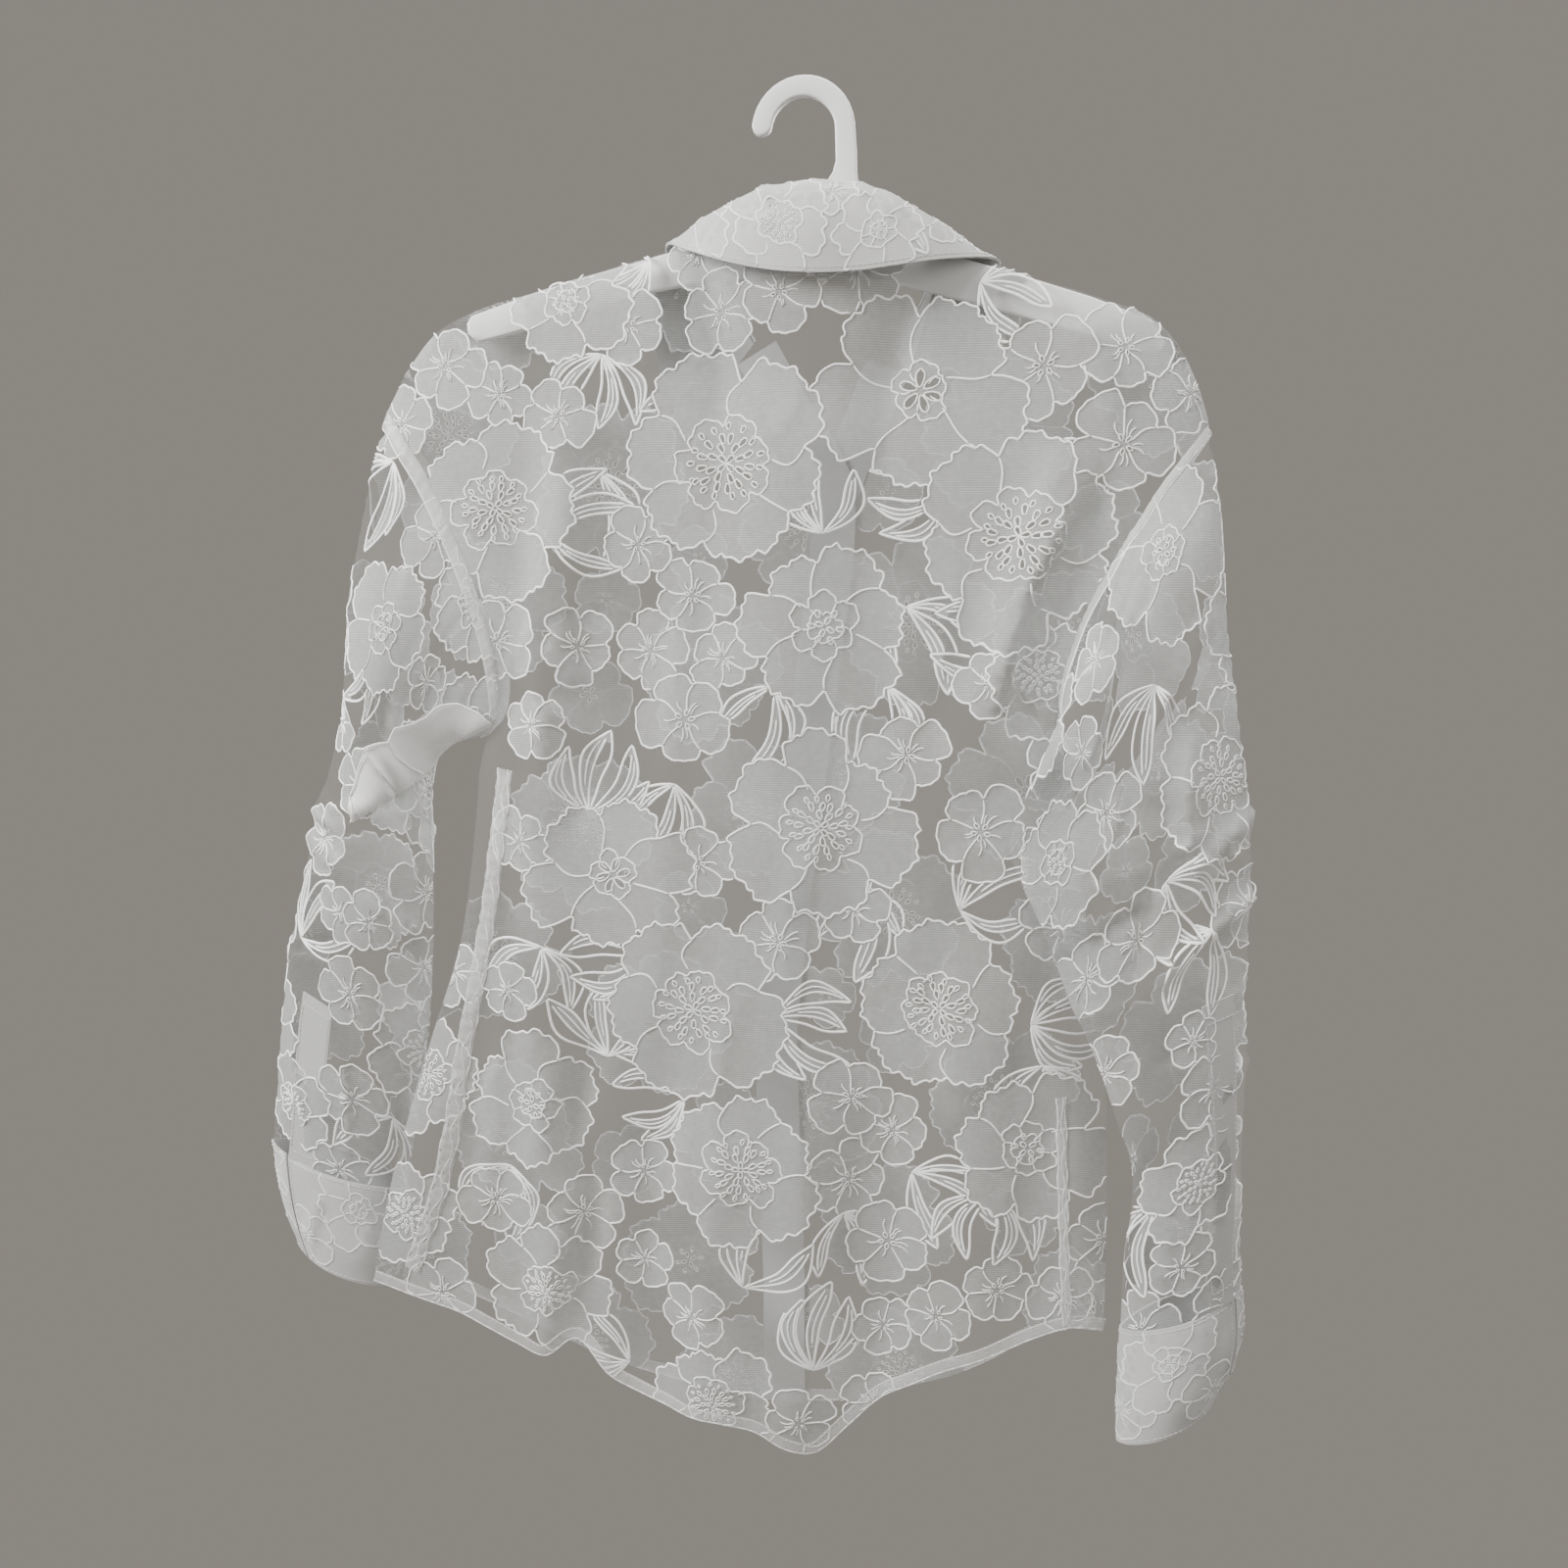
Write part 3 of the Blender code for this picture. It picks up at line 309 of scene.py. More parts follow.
# Rings of see-through drops: share of the radius, count, length, slimness
FLOWER_DROPS = {
    "small": [(0.13, 5, 0.17, 0.5)],
    "anemone": [(0.055, 4, 0.1, 0.5), (0.145, 8, 0.115, 0.47), (0.24, 13, 0.115, 0.46),
                (0.325, 15, 0.085, 0.52)],
    "peony": [(0.07, 4, 0.11, 0.5), (0.16, 6, 0.11, 0.5)],
    "wild": [(0.12, 6, 0.19, 0.45)],
}
PETAL_STEP = 2.0
TOOTH_SIZES = (8.5, 21.0, 5.3)
LEAF_GROWTH = 1.5
LEAF_MOST = 62.0
# What is put into open places, by its size, and how often each size is tried
FILL_KINDS = {48: "anemone", 44: "peony", 40: "anemone", 26: "small", 24: "small", 21: "small",
              30: "leaf"}
FILL_TRIES = 700

# How the layout of a cloth is read: reach of a slope, the eye's y and the spots tried near a place
SLOPE_REACH = 0.6
EYE_Y = -300.0
NEARBY = ((0, 0), (-3, 0), (0, 3), (-6, 0), (-6, 5), (0, 7), (3, 0), (-10, 6), (6, 3))

# The photo's camera: focal length, middle and vanishing point of +Y in pixels, roll, and place in mm
PHOTO_FOCAL = 1200.0
PHOTO_MIDDLE = 800
PHOTO_VANISHING = (940.0, 665.0)
PHOTO_ROLL = math.radians(1.3)
PHOTO_PLACE = np.array([74.51743, -714.2, -316.91898])
# Depth of the cloth where a spot is picked, and the mm to a pixel there
PICK_DEPTH = {"back": -16, "left": -10, "right": -44}
PICK_SCALE = 0.572
# Flowers picked in the photo: kind, px, py, radius in pixels, turn
BACK_FLOWER_PICKS = [
    ("anemone", 741, 472, 108, 10), ("anemone", 838, 845, 97, 70), ("anemone", 503, 517, 92, 30),
    ("anemone", 1040, 548, 106, 50), ("anemone", 708, 1030, 102, 20), ("anemone", 958, 1030, 96, 45),
    ("anemone", 757, 1190, 92, 0), ("anemone", 558, 1315, 70, 15), ("peony", 843, 640, 90, 35),
    ("peony", 545, 1125, 80, 60), ("peony", 1050, 1175, 86, 20), ("anemone", 1060, 690, 62, 5),
    ("peony", 575, 305, 66, 80), ("wild", 940, 398, 103, 12), ("wild", 625, 893, 92, 40),
    ("small", 1065, 371, 52, 0), ("small", 795, 300, 42, 30), ("small", 735, 318, 42, 55),
    ("small", 700, 735, 52, 10), ("small", 712, 880, 44, 44), ("small", 650, 555, 40, 5),
    ("small", 706, 608, 42, 25), ("small", 662, 664, 40, 50), ("small", 570, 425, 38, 15),
    ("small", 450, 372, 44, 33), ("small", 795, 960, 48, 60), ("small", 868, 1120, 46, 20),
    ("small", 912, 1158, 40, 41), ("small", 905, 1272, 50, 9), ("small", 955, 1345, 40, 30),
    ("small", 655, 1290, 34, 50), ("small", 707, 1340, 40, 12), ("small", 1148, 452, 50, 28),
    ("small", 815, 1450, 40, 0), ("small", 1150, 352, 44, 18), ("small", 640, 330, 40, 8),
    ("small", 1000, 850, 50, 21), ("small", 925, 770, 46, 66), ("small", 590, 660, 40, 7),
    ("small", 505, 1225, 44, 14), ("small", 870, 930, 36, 50), ("small", 655, 1200, 38, 32),
    ("small", 1085, 1330, 40, 11), ("small", 900, 1360, 36, 3), ("small", 545, 740, 38, 60),
    ("small", 530, 860, 36, 22), ("small", 1085, 950, 44, 35), ("small", 1010, 700, 36, 2),
    ("small", 520, 1010, 34, 40),
]
# Leaf sprays picked one by one: px, py of the base, angle, length in pixels, blades
BACK_LEAF_PICKS = [
    (735, 408, 196, 100, 4), (612, 360, 258, 95, 4), (560, 545, 15, 84, 3), (968, 500, 176, 112, 4),
    (1040, 655, 172, 112, 4), (905, 700, 262, 98, 4), (790, 700, 250, 88, 3), (600, 830, 65, 96, 4),
    (880, 905, 268, 92, 3), (655, 975, 190, 108, 4), (790, 1035, -25, 100, 4), (700, 1120, 188, 96, 4),
    (520, 1190, 255, 100, 4), (830, 1395, 84, 124, 5), (1010, 1215, 262, 108, 4),
    (640, 1395, 160, 84, 3), (1065, 1090, 280, 84, 3), (610, 480, 275, 74, 3), (925, 620, 300, 86, 3),
    (690, 800, 250, 70, 3), (760, 1310, 70, 84, 3), (980, 930, 30, 80, 3), (860, 1240, 285, 88, 3),
    (1070, 450, 300, 70, 3), (660, 260, 200, 60, 3), (1000, 285, -15, 70, 3), (840, 545, 100, 60, 3),
    (620, 1080, 95, 80, 3), (930, 1200, -30, 76, 3), (555, 965, 250, 80, 3),
]
SLEEVE_FLOWER_PICKS = {
    "left": [
        ("anemone", 292, 1130, 52, 0), ("small", 357, 1015, 44, 10), ("small", 355, 1125, 40, 40),
        ("small", 330, 855, 44, 20), ("small", 378, 940, 36, 5), ("small", 350, 930, 34, 50),
        ("peony", 400, 640, 76, 30), ("small", 375, 800, 40, 60),
    ],
    "right": [
        ("anemone", 1250, 795, 88, 12), ("anemone", 1222, 1205, 58, 40), ("peony", 1195, 560, 90, 20),
        ("small", 1160, 960, 46, 9), ("peony", 1080, 880, 64, 50), ("small", 1130, 830, 44, 30),
        ("small", 1110, 1000, 46, 44), ("small", 1240, 1110, 36, 4), ("small", 1215, 1060, 30, 60),
        ("small", 1215, 395, 42, 3), ("small", 1205, 1290, 36, 22),
    ],
}
SLEEVE_LEAF_PICKS = {
    "left": [
        (400, 470, 250, 100, 4), (392, 655, 235, 96, 3), (390, 1150, 250, 84, 3), (330, 700, 262, 90, 3),
        (300, 960, 60, 84, 3),
    ],
    "right": [
        (1130, 1120, -40, 110, 4), (1190, 900, -50, 96, 4), (1235, 950, 235, 96, 3),
        (1180, 700, 250, 90, 3), (1180, 1230, 262, 84, 3),
    ],
}
# Flowers of the fronts, guessed: kind, x, z, radius, turn
FRONT_FLOWERS = {
    "left": [("anemone", -120, -215, 50, 20), ("peony", -60, -330, 46, 50), ("anemone", -140, -430, 52, 10),
             ("wild", -90, -560, 50, 33), ("anemone", -190, -640, 48, 60), ("peony", -70, -720, 46, 5)],
    "right": [("peony", 120, -190, 48, 10), ("anemone", 70, -300, 50, 40), ("wild", 140, -400, 46, 25),
              ("anemone", 60, -480, 48, 70), ("anemone", 130, -600, 50, 0), ("peony", 60, -690, 44, 33)],
}
CUFF_FLOWERS = 6
# On the collar the places are along it from its middle and up from its edge
COLLAR_FLOWERS = [("anemone", -18, 26, 30, 10), ("peony", 38, 20, 26, 40), ("wild", -74, 22, 28, 70),
                  ("small", 78, 30, 20, 20), ("small", 12, 44, 16, 5), ("small", -48, 42, 15, 33),
                  ("peony", 118, 20, 26, 15), ("anemone", -130, 20, 28, 50)]
COLLAR_LEAVES = [(-52, 30, 200, 30, 3), (58, 34, 320, 28, 3), (100, 34, 20, 26, 3)]

# Small creases: both ends on the layout, half width, height
BACK_CREASES = [
    (170, -206, 116, -378, 6, 4.6), (184, -218, 131, -392, 7, -4.2), (150, -120, 182, -200, 8, 2.4),
    (-148, -240, -152, -420, 8, 2.6), (-134, -300, -140, -440, 6, -1.8), (-176, -500, -200, -700, 7, 1.8),
    (20, -420, 6, -560, 10, 1.8), (-60, -600, -70, -740, 8, 1.8), (96, -480, 110, -640, 8, -1.8),
    (-178, -330, -118, -282, 4, 1.5), (-180, -346, -108, -334, 5, -1.3), (-152, -200, -148, -330, 5, 1.1),
    (-60, -250, -75, -420, 7, 1.2), (42, -230, 30, -400, 8, -1.1), (92, -240, 60, -380, 6, 1.3),
    (120, -420, 62, -520, 7, 1.1), (-30, -520, -20, -700, 6, 1.2), (70, -560, 85, -720, 6, -1.1),
    (-190, -480, -215, -640, 5, 1.2), (140, -620, 150, -720, 5, 1.1), (-110, -620, -122, -740, 5, 1.1),
    (5, -140, -20, -200, 6, 0.9), (-120, -156, -42, -152, 3, 1.2), (150, -300, 118, -330, 4, 1.1),
]
FRONT_CREASES = {
    "left": [(-180, -320, -110, -280, 5, 1.3), (-100, -200, -60, -260, 6, 1.0),
             (-150, -480, -140, -640, 6, 1.2), (-60, -560, -50, -720, 7, -1.1),
             (-220, -600, -235, -700, 5, 1.1)],
    "right": [(170, -330, 110, -290, 5, 1.3), (90, -200, 60, -270, 6, 1.0), (120, -480, 130, -640, 6, 1.2),
              (50, -540, 55, -700, 7, -1.1), (150, -620, 160, -700, 5, 1.0)],
}
SLEEVE_CREASES = {
    "left": [(-70, 262, 60, 240, 6, 4.6), (-40, 225, 90, 214, 5, 3.6), (10, 330, 100, 280, 7, 3.6),
             (20, 300, 96, 262, 4, -2.4), (-90, 160, 40, 140, 6, 3.4), (30, 120, 40, 20, 5, 2.4),
             (-20, 110, -30, 10, 6, -2.0), (60, 100, 66, 12, 4, 2.0), (-80, 380, -30, 250, 7, 2.6),
             (-110, 250, -60, 236, 5, 3.0), (-100, 300, -40, 268, 6, -2.4), (60, 200, 118, 178, 5, 2.6),
             (-130, 420, -90, 300, 6, 2.6), (-60, 440, -40, 340, 6, -2.2), (-20, 250, 70, 262, 4, 2.8)],
    "right": [(-80, 300, 50, 260, 7, 4.6), (-30, 250, 80, 200, 6, 4.4), (40, 340, 30, 220, 7, 4.4),
              (60, 300, 70, 150, 6, -3.4), (-60, 150, 30, 120, 6, 2.4), (20, 110, 24, 12, 5, 2.2),
              (-30, 100, -34, 12, 6, -2.0), (55, 90, 60, 14, 4, 2.0), (80, 262, 126, 240, 5, 4.2),
              (74, 246, 120, 252, 4, -3.2), (-110, 230, -50, 214, 5, 2.6), (90, 330, 100, 230, 5, 2.4),
              (70, 470, 118, 395, 7, 4.0), (56, 455, 96, 390, 5, -3.0), (100, 400, 128, 330, 6, 3.0),
              (30, 285, 122, 268, 4, 4.4), (-10, 252, 60, 262, 4, 3.4), (10, 400, 74, 330, 6, 3.4),
              (50, 215, 112, 196, 4, 3.2), (-50, 210, 20, 170, 5, -2.6)],
}
CUFF_CREASES = [(-90, 14, -84, 60, 4, 1.4), (10, 8, 16, 58, 5, 1.3), (-60, 10, -50, 52, 6, 0.8),
                (30, 6, 44, 50, 7, 0.9), (80, 8, 84, 46, 5, 0.7)]
COLLAR_CREASES = [(-26, 66, -22, 34, 5, 2.0), (26, 64, 30, 36, 5, 1.8),
                  (-30, 50, -24, 20, 6, 0.9), (44, 52, 50, 24, 6, 0.9), (-90, 40, -60, 16, 7, 0.8),
                  (80, 40, 100, 14, 7, 0.8)]
# Seams seen on the back: line, width, gathers
BACK_SEAMS = [
    ([(-181, -392), (-187, -440), (-193, -483), (-203, -535), (-212, -580), (-219, -624), (-229, -669),
      (-249, -724)], 11.0, 0.6),
    ([(165, -585), (166, -600), (168, -640), (171, -690), (174, -732)], 6.0, 0.35),
]
ARMHOLE_BAND = {"left": 10.0, "right": 6.0}
# Turned-over end under the left arm, as seen from behind: outline, fold and cords
UNDERARM_FOLD = [(-191, -365), (-197, -357), (-210, -351), (-223, -353), (-239, -364), (-249, -367),
                 (-253, -376), (-265, -379), (-271, -395), (-277, -411), (-277, -427), (-256, -412),
                 (-235, -394), (-211, -377), (-199, -368)]
UNDERARM_FOLD_EDGE = [(-191, -365), (-211, -377), (-235, -394), (-256, -412), (-277, -427)]
UNDERARM_FOLD_CORDS = [
    ([(-191, -363), (-197, -357), (-210, -351), (-223, -353), (-231, -360), (-239, -364), (-249, -367),
      (-253, -376), (-259, -377), (-265, -379), (-268, -388), (-271, -395), (-273, -403), (-277, -411),
      (-274, -418), (-277, -427)], 1.5),
    ([(-252, -374), (-250, -384), (-243, -392), (-238, -396)], 1.2),
]


# Curves and folds

def unit(vector):
    length = np.linalg.norm(vector)
    return vector / length if length > 1e-12 else vector


def smoothstep(value):
    value = np.clip(value, 0.0, 1.0)
    return value * value * (3 - 2 * value)


def refine_rows(values, factor):
    """The rows of a table with more between them, all on a smooth curve."""
    ends = np.concatenate([[2 * values[0] - values[1]], values, [2 * values[-1] - values[-2]]])
    result = []
    for p0, p1, p2, p3 in zip(ends, ends[1:], ends[2:], ends[3:]):
        for k in range(factor):
            t = k / factor
            result.append(0.5 * (2 * p1 + (p2 - p0) * t + (2 * p0 - 5 * p1 + 4 * p2 - p3) * t ** 2
                                 + (3 * p1 - p0 - 3 * p2 + p3) * t ** 3))
    return np.array(result + [values[-1]])


def arc_lengths(line):
    """Length of a line from its start to each of its points."""
    return np.concatenate([[0], np.cumsum(np.linalg.norm(np.diff(line, axis=0), axis=1))])


def at_lengths(line, lengths, wanted):
    """Points of a line at the wanted lengths."""
    return np.column_stack([np.interp(wanted, lengths, line[:, k]) for k in range(line.shape[1])])


def curve_through(points, fractions):
    """Points at the given fractions of arc length on a smooth curve through a table."""
    dense = refine_rows(np.array(points, dtype=float), CURVE_STEPS)
    lengths = arc_lengths(dense)
    return at_lengths(dense, lengths, np.array(fractions) * lengths[-1])


def line_at_x(table, xs):
    """Height of a hem table at each x."""
    data = np.array(table, dtype=float)
    return np.interp(xs, data[:, 0], data[:, 1])


def fold_height(folds, x, z):
    """Sum of the soft ridges and troughs of a fold table at one place."""
    total = 0.0
    for _, x0, z0, x1, z1, half_width, rise in folds:
        along = np.array([x1 - x0, z1 - z0], dtype=float)
        length = np.linalg.norm(along)
        along /= length
        place = np.array([x - x0, z - z0])
        s = place.dot(along) / length
        across = place[0] * along[1] - place[1] * along[0]
        ends = smoothstep((s + 0.15) / 0.35) * smoothstep((1.15 - s) / 0.35)
        total += rise * ends * math.exp(-(across / half_width) ** 2)
    return total


# Body panels

ROWS = ROW_FRACTIONS + [ROW_FRACTIONS[-1] + (1 - ROW_FRACTIONS[-1]) * (k + 1) / SKIRT_ROWS
                        for k in range(SKIRT_ROWS)]
UNDERARM_ROW = len(ROW_FRACTIONS) - 1


def side_edge(side, sign):
    """Armhole and side edge of a panel: x, y, z for each row. sign -1 back, +1 front."""
    armhole = ARMHOLES[side, "back" if sign < 0 else "front"]
    seam = SIDE_LEFT if side == "left" else SIDE_RIGHT
    top = curve_through(armhole, ARMHOLE_FRACTIONS)
    low = curve_through(seam, [(k + 1) / SKIRT_ROWS for k in range(SKIRT_ROWS)])
    upper = np.column_stack([top[:, 0], top[:, 2], top[:, 1]])
    lower = np.column_stack([low[:, 0], low[:, 2], low[:, 1]])
    return np.vstack([upper, lower])


def shoulder_edge(side):
    """Shoulder seam from armhole to neck: x, y, z for each column."""
    table = SHOULDER_LEFT if side == "left" else SHOULDER_RIGHT
    line = curve_through(table, [k / SHOULDER_CELLS for k in range(SHOULDER_CELLS + 1)])
    return np.column_stack([line[:, 0], np.zeros(len(line)), line[:, 1]])


def straight_shoulders(top):
    """The top edge with each shoulder laid on the straight line between its ends."""
    plain = top.copy()
    last = len(top) - 1
    spans = [(0, SHOULDER_CELLS)]
    if last > SHOULDER_CELLS:
        spans.append((last - SHOULDER_CELLS, last))
    for a, b in spans:
        for k in range(a, b + 1):
            plain[k] = top[a] + (top[b] - top[a]) * (k - a) / (b - a)
    return plain


def fill_panel(top, bottom, left, right, sign, folds, reach):
    """Panel grid from its four edges. reach is the share of the width that an edge bends."""
    rows = len(ROWS)
    cols = len(top)
    grid = np.zeros((rows, cols, 3))
    flat_top = straight_shoulders(top)
    for j in range(cols):
        u = j / (cols - 1)
        at_neck = cols > 2 * SHOULDER_CELLS and SHOULDER_CELLS < j < cols - 1 - SHOULDER_CELLS
        for i, v in enumerate(ROWS):
            if at_neck and i == 1:
                v = NECK_FIRST_ROW
            grown = smoothstep(v / RIDGE_FADE)
            reach_l = RIDGE_REACH + (reach[0] - RIDGE_REACH) * grown
            reach_r = RIDGE_REACH + (reach[1] - RIDGE_REACH) * grown
            from_left = max(0.0, 1 - u / reach_l) ** EDGE_BEND
            from_right = max(0.0, 1 - (1 - u) / reach_r) ** EDGE_BEND
            fade = smoothstep(v / SHOULDER_FADE)
            head = top[j] + (flat_top[j] - top[j]) * fade
            plain = (1 - v) * head + v * bottom[j]
            bend_left = left[i] - ((1 - v) * left[0] + v * left[-1])
            bend_right = right[i] - ((1 - v) * right[0] + v * right[-1])
            point = plain + from_left * bend_left + from_right * bend_right
            drop = top[j][2] - point[2]
            depth = max(np.interp(drop, DEPTH_BELOW, DEPTH), sign * top[j][1])
            near_left = max(0.0, 1 - u / EDGE_REACH) ** 2
            near_right = max(0.0, 1 - (1 - u) / EDGE_REACH) ** 2
            quiet = smoothstep(drop / FOLD_FADE) * (1 - near_left) * (1 - near_right)
            depth += quiet * fold_height(folds, point[0], point[2])
            middle = 1 - near_left - near_right
            point[1] = (middle * sign * depth + near_left * left[i][1]
                        + near_right * right[i][1])
            grid[i, j] = point
    return grid


def back_panel():
    left = side_edge("left", -1)
    right = side_edge("right", -1)
    shoulder_l = shoulder_edge("left")
    shoulder_r = shoulder_edge("right")[::-1]
    neck = curve_through(NECK_BACK, [k / NECK_CELLS for k in range(NECK_CELLS + 1)])
    neck = np.column_stack([neck[:, 0], neck[:, 2], neck[:, 1]])
    top = np.vstack([shoulder_l, neck[1:-1], shoulder_r])
    xs = np.linspace(left[-1][0], right[-1][0], len(top))
    bottom = np.column_stack([xs, np.zeros(len(xs)), line_at_x(HEM_BACK, xs)])
    return fill_panel(top, bottom, left, right, -1, BACK_FOLDS, (0.55, 0.55))


def front_edge(side):
    """Front edge where the button band is sewn on: x, y, z for each row."""
    open_part = NECK_FRONT_LEFT if side == "left" else NECK_FRONT_RIGHT
    shift = (-1 if side == "left" else 1) * BAND_WIDTH / 2
    centre = np.array(CENTRE_FRONT, dtype=float)
    rows = np.array(ROWS)
    top_z = open_part[0][1]
    foot_x = centre[-1][0] + shift
    foot_z = line_at_x(HEM_FRONT, [foot_x])[0]
    zs = top_z + (foot_z - top_z) * rows
    table = np.array(open_part, dtype=float)
    points = []
    for z in zs:
        if z >= CLOSED_FRONT_Z:
            x = np.interp(-z, -table[:, 1], table[:, 0])
            y = max(np.interp(-z, -table[:, 1], table[:, 2]),
                    np.interp(top_z - z, DEPTH_BELOW, DEPTH))
        else:
            x = np.interp(-z, -centre[:, 1], centre[:, 0]) + shift
            y = FRONT_EDGE_Y[side]
        points.append((x, y, z))
    return np.array(points)


def front_panel(side):
    outer = side_edge(side, 1)
    inner = front_edge(side)
    top = shoulder_edge(side)
    xs = np.linspace(outer[-1][0], inner[-1][0], len(top))
    bottom = np.column_stack([xs, np.zeros(len(xs)), line_at_x(HEM_FRONT, xs)])
    grid = fill_panel(top, bottom, outer, inner, 1, FRONT_FOLDS, (0.8, 0.9))
    if side == "left":
        return grid
    return grid[:, ::-1]


# Sleeves

def ring_points(row, shares):
    """Closed ring through the outer and inner point: back half first, then front half."""
    data = dict(zip(SLEEVE_COLUMNS, row))
    outer = np.array([data["ox"], data["oy"], data["oz"]], dtype=float)
    inner = np.array([data["ix"], data["iy"], data["iz"]], dtype=float)
    across = inner - outer
    side = unit(np.array([across[2], 0.0, -across[0]]))
    if side[0] * (1 if outer[0] < 0 else -1) < 0:
        side = -side
    points = []
    for half, share in shares:
        base = outer + across * share
        swell = math.sin(math.pi * share) ** SLEEVE_SWELL
        bow = data["bow_b"] if half == "back" else data["bow_f"]
        depth = -data["dep_b"] if half == "back" else data["dep_f"]
        point = base + side * bow * swell
        point[1] += depth * swell
        points.append(point)
    return points


def sleeve_shares():
    """Places round a sleeve: share from outer to inner for each column."""
    half = len(ARMHOLE_FRACTIONS) - 1
    ways = [0.25 * (1 - math.cos(math.pi * k / half)) + 0.5 * k / half
            for k in range(half + 1)]
    shares = [("back", way) for way in ways]
    shares += [("front", way) for way in reversed(ways[1:-1])]
    return shares


def start_rings(side, armhole, table_rings, shares):
    """Rings that lead from the armhole into the first ring of the table."""
    count = START_RINGS[side]
    top, low = [np.array(way, dtype=float) for way in SLEEVE_START[side]]
    weights = np.array([share for _, share in shares])[:, None]
    leave = top + (low - top) * weights
    arrive = (table_rings[1] - table_rings[0]) * (count + 1)
    result = []
    for k in range(1, count + 1):
        t = k / (count + 1)
        result.append((2 * t ** 3 - 3 * t ** 2 + 1) * armhole + (t ** 3 - 2 * t ** 2 + t) * leave
                      + (3 * t ** 2 - 2 * t ** 3) * table_rings[0] + (t ** 3 - t ** 2) * arrive)
    return result


def sleeve_grid(side, back_edge, front_edge_points):
    """Rings of a sleeve. Ring 0 is the armhole, which the panels share."""
    rings = RINGS_LEFT if side == "left" else RINGS_RIGHT
    armhole = list(back_edge[:UNDERARM_ROW + 1]) + list(front_edge_points[1:UNDERARM_ROW][::-1])
    shares = sleeve_shares()
    split = slit_column(side, shares)
    table_rings = [np.array(ring_points(row, shares)) for row in rings]
    grid = [np.array(armhole)]
    grid += start_rings(side, grid[0], table_rings, shares)
    grid += table_rings
    grid = np.array(grid)
    return close_slit(grid, split, SLIT_RING[side])


def slit_column(side, shares):
    """First of the two columns between which the slit lies."""
    ways = [share for half, share in shares if half == "back"]
    return max(k for k, share in enumerate(ways) if share <= SLIT_SHARE[side])


def close_slit(grid, column, start):
    """Draws two columns of a tube together into the lips of a slit, from a ring down."""
    grid = grid.copy()
    for i in range(len(grid)):
        near = smoothstep((i - start + 3) / 3)
        a = grid[i, column].copy()
        b = grid[i, column + 1].copy()
        middle = (a + b) / 2
        apart = unit(b - a) * SLIT_HALF
        grid[i, column] = a + (middle - apart - a) * near
        grid[i, column + 1] = b + (middle + apart - b) * near
    return grid


def grid_faces(rows, cols, flip=False):
    """Quads of a grid whose points are numbered row by row."""
    faces = []
    for i in range(rows - 1):
        for j in range(cols - 1):
            quad = (i * cols + j, i * cols + j + 1, (i + 1) * cols + j + 1, (i + 1) * cols + j)
            faces.append(quad[::-1] if flip else quad)
    return faces


# Collar, button bands and hanger

def split_quads(points, faces):
    """Triangles of the quads, each cut along its shorter diagonal."""
    result = []
    for a, b, c, d in faces:
        across = points[a] - points[c]
        other = points[b] - points[d]
        if across.dot(across) <= other.dot(other):
            result += [(a, b, c), (a, c, d)]
        else:
            result += [(a, b, d), (b, c, d)]
    return result


def corner_normals(points, faces):
    """Normals of a mesh of quads, weighed by the angles of its triangles."""
    normals = np.zeros_like(points)
    for face in split_quads(points, faces):
        corners = points[list(face)]
        for k in range(3):
            a = corners[k - 1] - corners[k]
            b = corners[(k + 1) % 3] - corners[k]
            cross = np.cross(b, a)
            size = np.linalg.norm(cross)
            if size < 1e-9:
                continue
            angle = math.atan2(size, a.dot(b))
            normals[face[k]] += cross / size * angle
    return normals


def laid_on(grid, rows, cols, flip):
    """A block of a grid's points, moved out along its normals to lie on the cloth."""
    block = grid[rows[0]:rows[1] + 1, cols[0]:cols[1] + 1]
    points = block.reshape(-1, 3)
    normals = corner_normals(points, grid_faces(*block.shape[:2], flip))
    lift = CLOTH / 2 + LAY_GAP + BAND_WALL / 2
    return (points + np.array([unit(n) * lift for n in normals])).reshape(block.shape)


def band_grid(panel_edge, side):
    """Button band: a strip beside the front edge, from the stand's end to the hem."""
    sign = 1 if side == "left" else -1
    rows = panel_edge[STAND_ROWS:]
    grid = []
    for i, p in enumerate(rows):
        before = rows[max(i - 1, 0)]
        after = rows[min(i + 1, len(rows) - 1)]
        along = unit(np.array([after[0] - before[0], 0, after[2] - before[2]]))
        across = np.array([-along[2], 0.0, along[0]]) * sign
        grid.append([p + across * BAND_WIDTH * share for share in (0, 0.5, 1.0)])
    return np.array(grid)


def neck_seam(back, front_l, front_r):
    """Neck edge points of the three panels, from the left stand end to the right one."""
    left = front_l[1:STAND_ROWS + 1, -1][::-1]
    nape = back[0, SHOULDER_CELLS:SHOULDER_CELLS + NECK_CELLS + 1]
    right = front_r[1:STAND_ROWS + 1, 0]
    return np.vstack([left, nape, right])


